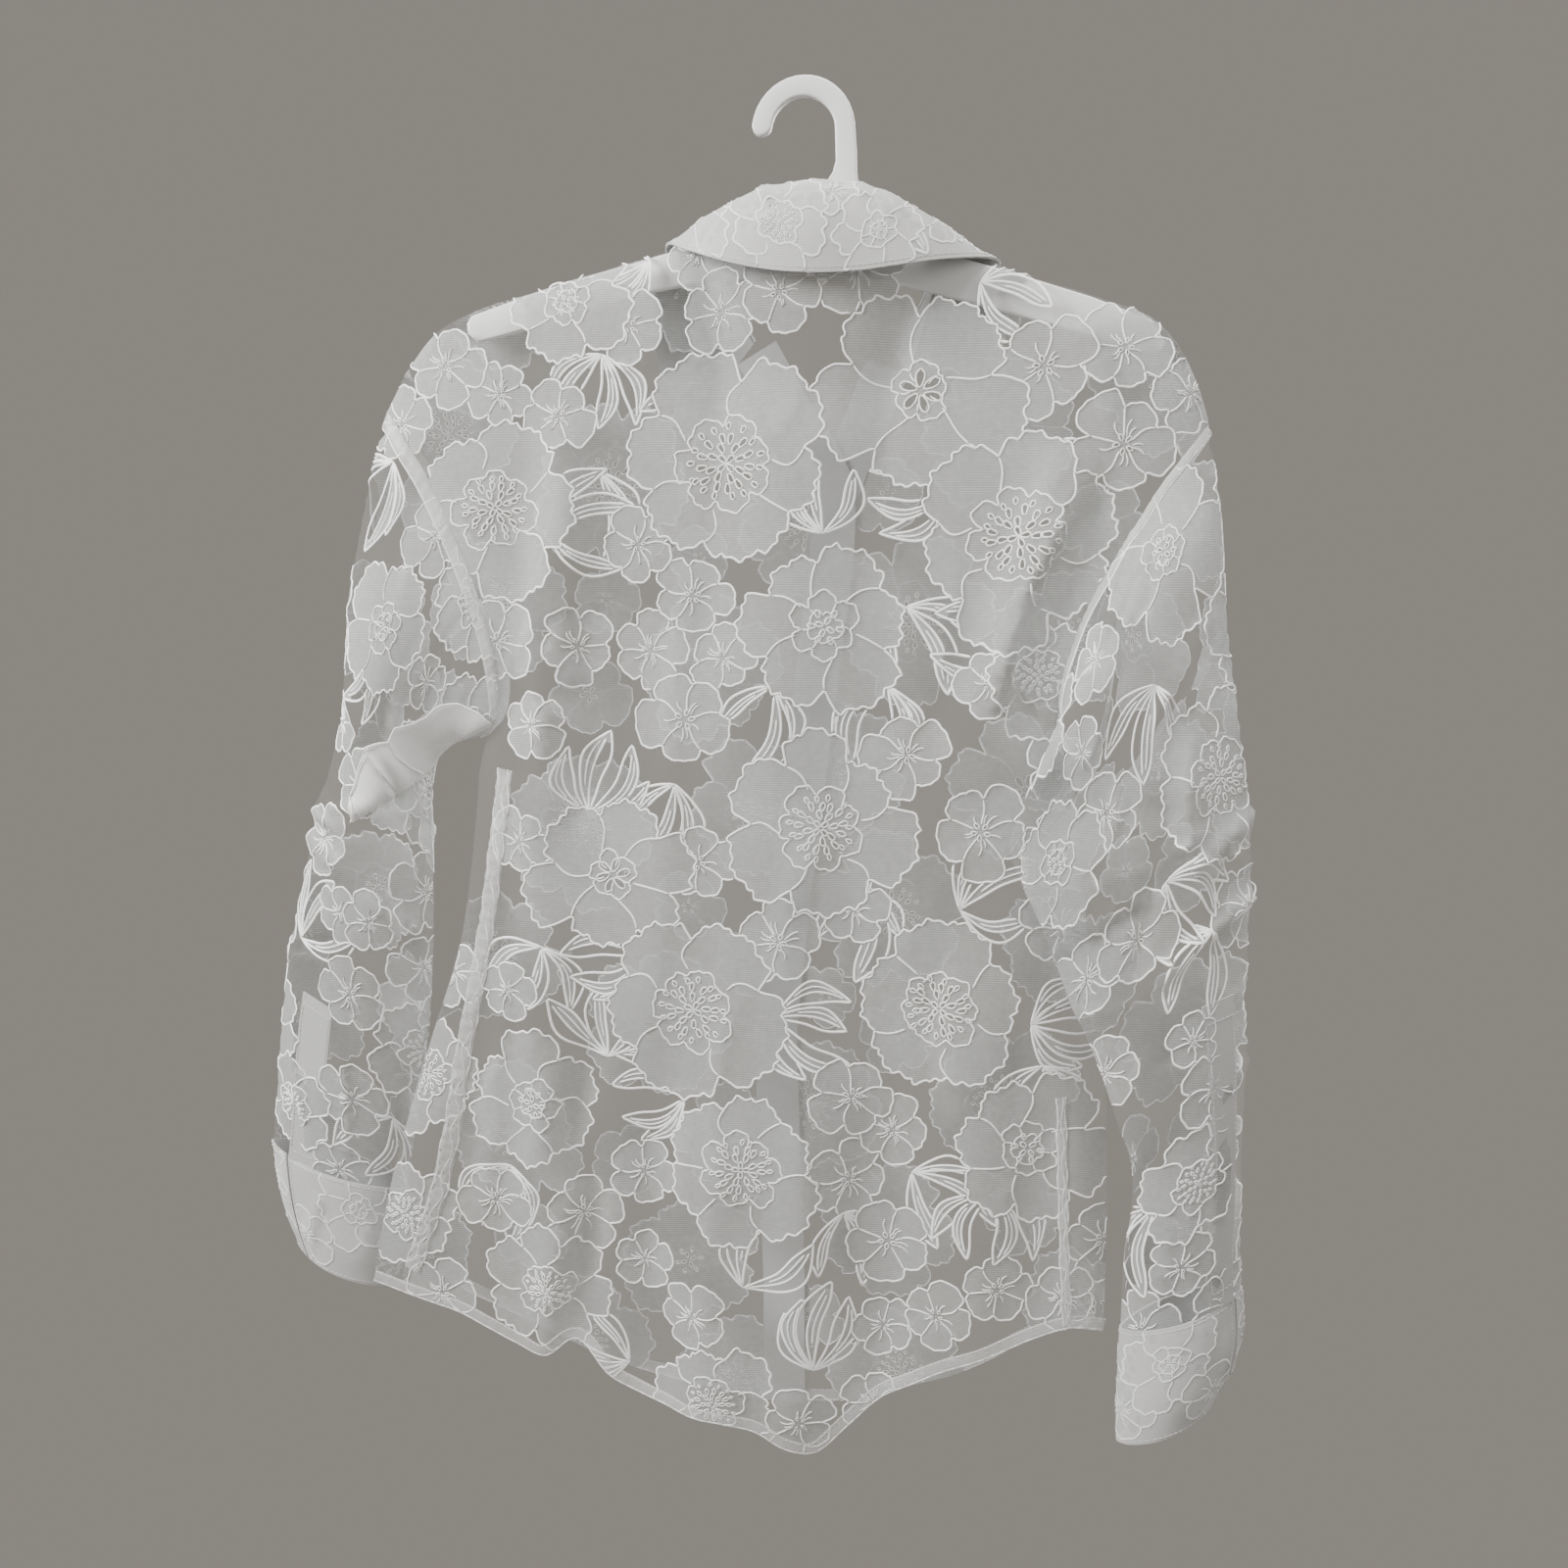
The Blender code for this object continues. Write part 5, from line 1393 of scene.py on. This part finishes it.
def band(cloth, suffix, line, width, height, pucker, seed):
    """Narrow fold of cloth laid along a line of the layout, gathered unevenly."""
    line = resample(line, EDGE_STEP)
    side = sideways(np.gradient(line, axis=0))
    walk = np.cumsum(np.random.default_rng(seed).uniform(0.5, 1.6, len(line)))
    wobble = 1 + 0.06 * np.sin(walk * 1.7) * pucker
    places, heights = [], []
    for offset, lift in BAND_PROFILE:
        places.append(line + side * (offset * wobble * width)[:, None])
        gathers = pucker * np.sin(walk * 2.1 + offset * 2.0) * (1 if lift else 0)
        heights.append(LIFT + height * lift + np.maximum(gathers, -height * 0.8))
    places = np.stack(places, axis=1).reshape(-1, 2)
    heights = np.stack(heights, axis=1).reshape(-1)
    faces = [(a, d, c, b) for a, b, c, d in grid_faces(len(line), len(BAND_PROFILE))]
    return raised(cloth, suffix, places, heights, faces, SKIN["hem"])


def stitches(cloth, suffix, line, height=0.25):
    line = np.asarray(line, dtype=float)
    lengths = arc_lengths(line)
    starts = np.arange(0, lengths[-1] - STITCH_LENGTH, STITCH_LENGTH + STITCH_GAP)
    lines = [(at_lengths(line, lengths, np.array([s, s + STITCH_LENGTH])), False, STITCH_WIDTH)
             for s in starts]
    return ribbons(cloth, suffix, lines, SKIN["thread"], height, base_height=0.15, step=STITCH_LENGTH)


def hem_of(cloth, seed):
    edge = resample(cloth.flat[-1], EDGE_STEP)
    hem = band(cloth, "_hem", offset_line(edge, 4.2), 8.0, 0.3, 0.22, seed)
    fold = ribbons(cloth, "_hem_fold", [(offset_line(edge, 0.6), False, 1.3)], SKIN["cord"], 0.5)
    sewn = stitches(cloth, "_hem_stitches", offset_line(edge, 7.4), height=0.45)
    return [hem, fold, sewn]


def side_seam(cloth, number, line, width, pucker, rng):
    """A seam that shows through the cloth: its allowance and three crinkled cords."""
    seam = band(cloth, f"_seam_{number}", line, width, 0.7, pucker, 20 + number)
    fine = resample(line, 2.2)
    walk = np.cumsum(rng.uniform(0.25, 0.75, len(fine)))
    out = sideways(np.gradient(fine, axis=0))
    crinkles = []
    # Place of each cord across the seam, as a share of its width, and how far it sways
    for share, sway in ((-0.42, 0.9), (0.08, 1.9), (0.4, 1.1)):
        shift = share * width + sway * width / 11 * np.sin(walk + 5 * share)
        crinkles.append((fine + out * shift[:, None], False, 1.0))
    return [seam, ribbons(cloth, f"_seam_gathers_{number}", crinkles, SKIN["cord"], 0.8)]


# The embroidered sheet of a cloth

def clipped(line, closed, covers, cloth_outline):
    """The runs of a line that lie on the cloth and under no earlier motif."""
    line = np.asarray(line, dtype=float)
    keep = inside(line, cloth_outline)
    for cover in covers:
        keep &= ~inside(line, cover)
    if keep.all():
        return [(line, closed)]
    order = list(range(len(line)))
    if closed and keep.any():
        first = int(np.nonzero(~keep)[0][0])
        order = order[first:] + order[:first]
    runs = [[]]
    for k in order:
        if keep[k]:
            runs[-1].append(line[k])
        else:
            runs.append([])
    return [(np.array(run), False) for run in runs if len(run) > 1]


def seen_lines(motifs, outline):
    """Loops of all petals and openings, and all cords, cut where an earlier motif covers them."""
    covers, spans, loops, cords = [], [], [], []
    for motif in motifs:
        every = np.vstack([line for line, closed, width in motif["cords"]])
        low, high = every.min(axis=0), every.max(axis=0)
        near = [cover for cover, (start, end) in zip(covers, spans)
                if (start < high).all() and (end > low).all()]
        for polygon in motif["solid"] + motif["open"]:
            loops += clipped(polygon, True, near, outline)
        for line, closed, width in motif["cords"]:
            for run, whole in clipped(resample(line, CORD_STEP, closed), closed, near, outline):
                cords.append((run, whole, width))
        covers += motif["solid"]
        spans += [(polygon.min(axis=0), polygon.max(axis=0)) for polygon in motif["solid"]]
    return loops, cords


def staggered_points(outline, fixed):
    """Rows of points inside the outline, none close to a fixed one."""
    low, high = outline.min(axis=0), outline.max(axis=0)
    rows = []
    y = low[1]
    while y < high[1]:
        xs = np.arange(low[0] + (len(rows) % 2) * SHEET_STEP / 2, high[0], SHEET_STEP)
        rows.append(np.column_stack([xs, np.full(len(xs), y)]))
        y += SHEET_STEP * 0.866
    spots = np.vstack(rows)
    spots = spots[inside(spots, outline)]
    tree = KDTree(len(fixed))
    for k, spot in enumerate(fixed):
        tree.insert((spot[0], spot[1], 0.0), k)
    tree.balance()
    return np.array([p for p in spots if tree.find((p[0], p[1], 0.0))[2] > SHEET_CLEAR])


def cut_sheet(outline, loops):
    """Points and triangles inside the outline, with edges along it and along the loops."""
    places, edges = [], []
    start = 0
    for run, closed in [(outline, True)] + loops:
        count = len(run)
        places.append(run)
        edges += [(start + k, start + (k + 1) % count) for k in range(count if closed else count - 1)]
        start += count
    fixed = np.vstack(places)
    spots = np.vstack([fixed, staggered_points(outline, fixed)])
    out = geometry.delaunay_2d_cdt([Vector(p) for p in spots], edges, [], 0, 1e-3)
    verts = np.array([tuple(v) for v in out[0]])
    tris = np.array(out[2])
    return verts, tris[inside(verts[tris].mean(axis=1), outline)]


def petal_marks(centres, motifs):
    """1 for each triangle on a petal, 0 on the sheer ground and in the openings."""
    marks = np.zeros(len(centres), dtype=int)
    decided = np.zeros(len(centres), dtype=bool)
    for motif in motifs:
        solid, hole = np.zeros((2, len(centres)), dtype=bool)
        for polygon in motif["solid"]:
            solid |= inside(centres, polygon)
        for polygon in motif["open"]:
            hole |= inside(centres, polygon)
        marks[solid & ~hole & ~decided] = 1
        decided |= solid
    return marks


def dress(cloth, motifs, materials, cord_height=0.55, laid=0.0):
    """Sheer ground, solid petals and cords of one cloth. Laid ones have no ground."""
    ground, petal, cord = materials
    outline = resample(cloth.outline, 4.0, True)
    loops, cords = seen_lines(motifs, outline)
    verts, tris = cut_sheet(outline, loops)
    marks = petal_marks(verts[tris].mean(axis=1), motifs)
    if laid:
        tris, marks = tris[marks == 1], marks[marks == 1]
    used = np.unique(tris)
    remap = np.full(len(verts), -1)
    remap[used] = np.arange(len(used))
    spots, normals = cloth.lift(verts[used], laid)
    faces = outward(spots, remap[tris], normals)
    title = cloth.name + ("_petals" if laid else "_cloth")
    sheet = make_object(title, spots, faces, [ground, petal], marks, normals)
    if not laid:
        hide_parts(cloth.name)
    return sheet, ribbons(cloth, "_cords", cords, cord, cord_height, LIFT + laid)


def trim_shell(cloth, thickness):
    """A lined, opaque piece with both faces and its rim. The cloth moves to its outer face."""
    middle = cloth.points + cloth.normals * cloth.rise(cloth.places)[:, None]
    outer = middle + cloth.normals * thickness / 2
    inner = middle - cloth.normals * thickness / 2
    count = len(middle)
    quads = cloth.quads
    a, b, c = (outer[quads[0][k]] for k in range(3))
    if np.cross(b - a, c - a).dot(cloth.normals[quads[0][0]]) < 0:
        quads = [q[::-1] for q in quads]
    faces = quads + [tuple(k + count for k in reversed(q)) for q in quads]
    edges = {(q[k], q[(k + 1) % 4]): True for q in quads for k in range(4)}
    faces += [(b, a, a + count, b + count) for a, b in edges if (b, a) not in edges]
    piece = make_object(cloth.name + "_cloth", np.vstack([outer, inner]), faces,
                        [SKIN["trim"]])
    piece.data.set_sharp_from_angle(angle=math.radians(50))
    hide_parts(cloth.name)
    cloth.points = cloth.points + cloth.normals * thickness / 2
    return piece


def folded_end(cloth):
    """Turned-over end of cloth under the arm, with its veins."""
    edge = resample(cloth.places_near(UNDERARM_FOLD), 3.0, True)
    fold = resample(cloth.places_near(UNDERARM_FOLD_EDGE), 2.0)
    low, high = edge.min(axis=0), edge.max(axis=0)
    xs, ys = np.meshgrid(np.arange(low[0], high[0], 3.5), np.arange(low[1], high[1], 3.5))
    middle = np.column_stack([xs.ravel(), ys.ravel()])
    middle = middle[inside(middle, edge)]
    rim = [(k, (k + 1) % len(edge)) for k in range(len(edge))]
    out = geometry.delaunay_2d_cdt([Vector(p) for p in np.vstack([edge, middle])], rim, [], 1, 1e-3)
    verts = np.array([tuple(v) for v in out[0]])
    away = np.min(np.linalg.norm(verts[:, None] - fold[None], axis=2), axis=1)
    # Low at the fold, highest a few mm from it and low again further off
    heights = 1.1 + 2.6 * (1 - np.exp(-away / 3.0)) * np.exp(-away / 26.0)
    piece = raised(cloth, "_fold", verts, heights, out[2], SKIN["fold"])
    lines = [(cloth.places_near(points), False, width) for points, width in UNDERARM_FOLD_CORDS]
    cords = ribbons(cloth, "_fold_cords", lines, SKIN["cord"], 0.5, base_height=3.1)
    return [piece, cords]


# The shirt's pieces

def build_back(grid, rng):
    back = Cloth("back", grid, flat_xz(grid), True, BACK_CREASES, waver=0.35, seed=1)
    motifs = motif_set(picked_flowers(BACK_FLOWER_PICKS, "back"),
                       picked_leaves(BACK_LEAF_PICKS, "back"), rng)
    motifs = filled(back.outline, motifs, [40, 26, 30, 24, 21], rng, 0.84)
    sheet, cords = dress(back, motifs, SHEER)
    extras = [cords] + hem_of(back, 3)
    for number, (line, width, pucker) in enumerate(BACK_SEAMS):
        extras += side_seam(back, number, np.array(line, dtype=float), width, pucker, rng)


def build_front(side, grid, rng):
    front = Cloth("front_" + side, grid, flat_xz(grid), False, FRONT_CREASES[side], waver=0.3,
                  seed=2 if side == "left" else 3)
    motifs = motif_set(FRONT_FLOWERS[side], [], rng)
    motifs = filled(front.outline, motifs, [48, 44, 40, 26, 30, 24], rng, 0.98)
    sheet, cords = dress(front, motifs, SHEER)
    [cords] + hem_of(front, 5)


def build_sleeve(side, tube, rng):
    count = tube.shape[1]
    half = count // 2
    opened = tube[:, [(half + k) % count for k in range(count + 1)]]
    sleeve = Cloth("sleeve_" + side, opened, unrolled(opened, count - half), side == "left",
                   SLEEVE_CREASES[side], waver=0.35, seed=4 if side == "left" else 5)
    motifs = motif_set(picked_flowers(SLEEVE_FLOWER_PICKS[side], side),
                       picked_leaves(SLEEVE_LEAF_PICKS[side], side), rng, sleeve.place_seen,
                       mirror=side == "right")
    motifs = filled(sleeve.outline, motifs, [44, 40, 26, 24, 30, 21], rng, 0.9)
    sheet, cords = dress(sleeve, motifs, SHEER)
    top = resample(sleeve.flat[0], EDGE_STEP)
    width = ARMHOLE_BAND[side]
    down = -1 if np.median(np.diff(top[:, 0])) > 0 else 1
    armhole = band(sleeve, "_armhole", offset_line(top, down * width / 2), width, 0.6, 0.35, 31)
    rim = ribbons(sleeve, "_armhole_edge", [(offset_line(top, down * width), False, 1.2)],
                  SKIN["cord"], 0.6)
    extras = [cords, armhole, rim]
    if side == "left":
        extras += folded_end(sleeve)


def build_sleeve_placket(side, tube, column):
    first = SLIT_RING[side] - 1
    block = laid_on(tube, (first, len(tube) - 1), (column + 1, column + 1 + PLACKET_CELLS),
                    side == "left")
    across = np.array([0.04, 0.34, 0.64])[None, :, None]
    block = block[:, :1] + (block[:, -1:] - block[:, :1]) * across
    patch = Cloth("sleeve_placket_" + side, block, unrolled(block, 1), side == "left",
                  waver=0.1, seed=6)
    piece = trim_shell(patch, SLEEVE_PLACKET_FINISH)
    rim = resample(patch.outline, EDGE_STEP, True)
    inner = rim + (patch.outline.mean(axis=0) - rim) * 0.12
    stitches(patch, "_stitches", closed_line(inner))


def build_cuff(side, tube, shares, column, rng):
    rows = CUFF_LEFT if side == "left" else CUFF_RIGHT
    cuff = np.array([ring_points(row, shares) for row in rows])
    cuff = np.concatenate([tube[-1:], close_slit(cuff, column, 0)])
    count = tube.shape[1]
    opened = cuff[:, [(column + 1 + k) % count for k in range(count)]]
    wrist = Cloth("cuff_" + side, opened, unrolled(opened, count // 2), side == "left", CUFF_CREASES,
                  waver=0.15, seed=8)
    piece = trim_shell(wrist, TRIM_FINISH)
    low, high = wrist.outline.min(axis=0), wrist.outline.max(axis=0)
    motifs = []
    for k in range(CUFF_FLOWERS):
        spot = low + np.array([(k + 0.5) / CUFF_FLOWERS, 0.3 + 0.4 * (k % 2)]) * (high - low)
        kind, radius = (("small", 22), ("peony", 30))[k % 2]
        motifs.append(flower(kind, spot, radius, 40 * k, rng))
    patch, cords = dress(wrist, motifs, TRIM, TRIM_CORD_HEIGHT, TRIM_LIFT)
    rim = resample(wrist.outline, EDGE_STEP, True)
    inner = rim - np.sign(rim - (low + high) / 2) * 2.2
    stitches(wrist, "_stitches", closed_line(inner))


def build_collar(seam, rng):
    stand, fall = collar_grids(seam)
    for name, grid, flip, creases in (("collar_stand", stand, False, ()),
                                      ("collar_fall", fall, True, COLLAR_CREASES)):
        collar = Cloth(name, grid, unrolled(grid, len(seam) // 2), flip, creases, waver=0.2, seed=9)
        piece = trim_shell(collar, TRIM_FINISH)
        extras = []
        if name == "collar_fall":
            motifs = motif_set(COLLAR_FLOWERS, COLLAR_LEAVES, rng)
            extras += dress(collar, motifs, TRIM, TRIM_CORD_HEIGHT, TRIM_LIFT)
        low_edge = resample(collar.flat[-1], EDGE_STEP)
        extras.append(stitches(collar, "_stitches", offset_line(low_edge, 2.4)))


def build_placket(side, panel_edge):
    grid = band_grid(panel_edge, side)
    strip = Cloth("placket_" + side, grid, unrolled(grid, 1), side == "right", waver=0.12, seed=10)
    piece = trim_shell(strip, PLACKET_FINISH)
    sewn = [stitches(strip, f"_stitches_{k}", strip.flat[:, column] + np.array([shift, 0.0]))
            for k, (column, shift) in enumerate(((0, 2.2), (-1, -2.2)))]


def smooth_hanger():
    mesh = bmesh.new()
    verts = [mesh.verts.new((x * MM, -HOOK_THICK / 2 * MM, z * MM)) for x, z in hanger_outline()]
    grown = bmesh.ops.extrude_face_region(mesh, geom=[mesh.faces.new(verts)])
    moved = [v for v in grown["geom"] if isinstance(v, bmesh.types.BMVert)]
    bmesh.ops.translate(mesh, vec=(0, HOOK_THICK * MM, 0), verts=moved)
    bmesh.ops.recalc_face_normals(mesh, faces=mesh.faces[:])
    rims = [e for e in mesh.edges if len(e.link_faces) == 2
            and sum(abs(f.normal.y) > 0.9 for f in e.link_faces) == 1]
    bmesh.ops.bevel(mesh, geom=rims, offset=HOOK_ROUND * MM, segments=3, affect="EDGES", profile=0.5,
                    clamp_overlap=True)
    bmesh.ops.triangulate(mesh, faces=[f for f in mesh.faces if len(f.verts) > 4])
    data = bpy.data.meshes.new("hanger_finish")
    mesh.to_mesh(data)
    mesh.free()
    data.materials.append(SKIN["plastic"])
    data.shade_smooth()
    data.set_sharp_from_angle(angle=math.radians(35))
    item = new_object("hanger_finish", data)
    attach(item, ROOT)
    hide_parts("hanger")


def button_finish(node):
    """A smooth button with four near-black discs of painted shade for its holes, and its thread, on the
    solid's place.
    """
    low, high = (np.array(corner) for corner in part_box(node))
    centre = (low + high) / 2 / MM
    normal = np.array([0.0, 1.0, 0.0])
    if "cuff" in node and node in bpy.data.objects:
        faces = bpy.data.objects[node].data.polygons
        normal = unit(np.array(max(faces, key=lambda f: f.area).normal))
    side = unit(np.cross(normal, [0.0, 0.0, 1.0]))
    up = np.cross(side, normal)
    if normal[1] < 0:
        normal = -normal
    base = centre - normal * BUTTON_THICK / 2
    points, faces, index = [], [], []

    def circle(middle, radius, count):
        angles = [2 * math.pi * k / count for k in range(count)]
        points.extend(middle + (side * math.cos(a) + up * math.sin(a)) * radius for a in angles)

    for share, height in BUTTON_PROFILE:
        circle(base + normal * BUTTON_THICK * height, BUTTON_RADIUS * share, BUTTON_SIDES)
    for start in range(0, (len(BUTTON_PROFILE) - 1) * BUTTON_SIDES, BUTTON_SIDES):
        for k in range(BUTTON_SIDES):
            a, b = start + k, start + (k + 1) % BUTTON_SIDES
            faces.append((b, a, a + BUTTON_SIDES, b + BUTTON_SIDES))
            index.append(0)
    face_height = BUTTON_THICK * BUTTON_PROFILE[-1][1]
    # The holes are not cut: each is a near-black disc of painted shade laid on the button's face
    for sx, sy in ((-1, -1), (1, -1), (1, 1), (-1, 1)):
        start = len(points)
        circle(base + (side * sx + up * sy) * HOLE_PLACE + normal * (face_height + 0.03), 0.55, 12)
        faces.append(tuple(range(start, start + 12)))
        index.append(1)
    for sx in (-1, 1):
        start = len(points)
        for sy in (-1, 1):
            for dx in (-0.35, 0.35):
                points.append(base + side * (sx * HOLE_PLACE + dx) + up * sy * HOLE_PLACE
                              + normal * (face_height + 0.16))
        faces.append((start, start + 1, start + 3, start + 2))
        index.append(2)
    item = make_object(node + "_finish", points, faces,
                       [SKIN["pearl"], SKIN["hole"], SKIN["thread"]], index)
    item.data.set_sharp_from_angle(angle=math.radians(40))
    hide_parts(node)


back_grid = back_panel()
front_grids = {side: front_panel(side) for side in SIDES}
rng = np.random.default_rng(7)
build_back(back_grid, rng)
for side in SIDES:
    build_front(side, front_grids[side], rng)
shares = sleeve_shares()
for side, end in zip(SIDES, (0, -1)):
    tube = sleeve_grid(side, back_grid[:, end], front_grids[side][:, end])
    column = slit_column(side, shares)
    build_sleeve(side, tube, rng)
    build_sleeve_placket(side, tube, column)
    build_cuff(side, tube, shares, column, rng)
build_collar(neck_seam(back_grid, front_grids["left"], front_grids["right"]), rng)
for side, end in zip(SIDES, (-1, 0)):
    build_placket(side, front_grids[side][:, end])
smooth_hanger()
for name in [str(k + 1) for k in range(BUTTON_COUNT)] + ["cuff_" + side for side in SIDES]:
    button_finish("button_" + name)

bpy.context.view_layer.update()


# Studio

FLOOR_Z = -1.35
FLOOR_X = 0.6
FLOOR_Y = (-0.5, 0.42)
floor_mesh = bpy.data.meshes.new("floor")
floor_mesh.from_pydata([(x, y, FLOOR_Z) for x, y in ((-FLOOR_X, FLOOR_Y[0]), (FLOOR_X, FLOOR_Y[0]),
                                                     (FLOOR_X, FLOOR_Y[1]), (-FLOOR_X, FLOOR_Y[1]))],
                       [], [(0, 1, 2, 3)])
floor_mesh.materials.append(plain_material("floor", (0.62, 0.6, 0.57), 0.9))
floor = new_object("floor", floor_mesh)

world = bpy.data.worlds.new("studio")
bpy.context.scene.world = world
world.use_nodes = True
backdrop = world.node_tree.nodes["Background"]
backdrop.inputs["Color"].default_value = (0.270, 0.251, 0.222, 1.0)
backdrop.inputs["Strength"].default_value = 1.0

# Lights: name, place, height they look at, size, power
LIGHTS = [
    ("key", (-1.3, -0.62, 0.35), -0.4, 0.6, 58),
    ("fill", (0.9, -1.5, 0.1), -0.45, 1.2, 10),
    ("top", (0.35, -0.3, 1.0), -0.4, 0.7, 26),
    ("rear", (0.7, 1.4, 0.4), -0.4, 1.2, 34),
]
for name, place, aim, size, power in LIGHTS:
    light = bpy.data.lights.new(name, "AREA")
    light.size = size
    light.energy = power
    light.color = (1.0, 0.99, 0.97)
    lamp = new_object(name, light)
    lamp.location = place
    lamp.rotation_euler = (Vector((0, 0, aim)) - Vector(place)).to_track_quat("-Z", "Y").to_euler()

# Camera at the photograph's viewing angle
camera_data = bpy.data.cameras.new("camera")
camera_data.lens = 27
camera_data.sensor_width = 36
camera = new_object("camera", camera_data)
camera.location = (0.07451743, -0.7142, -0.31691898)
camera.rotation_euler = tuple(math.radians(a) for a in (83.517, -0.554, 6.613))
bpy.context.scene.camera = camera
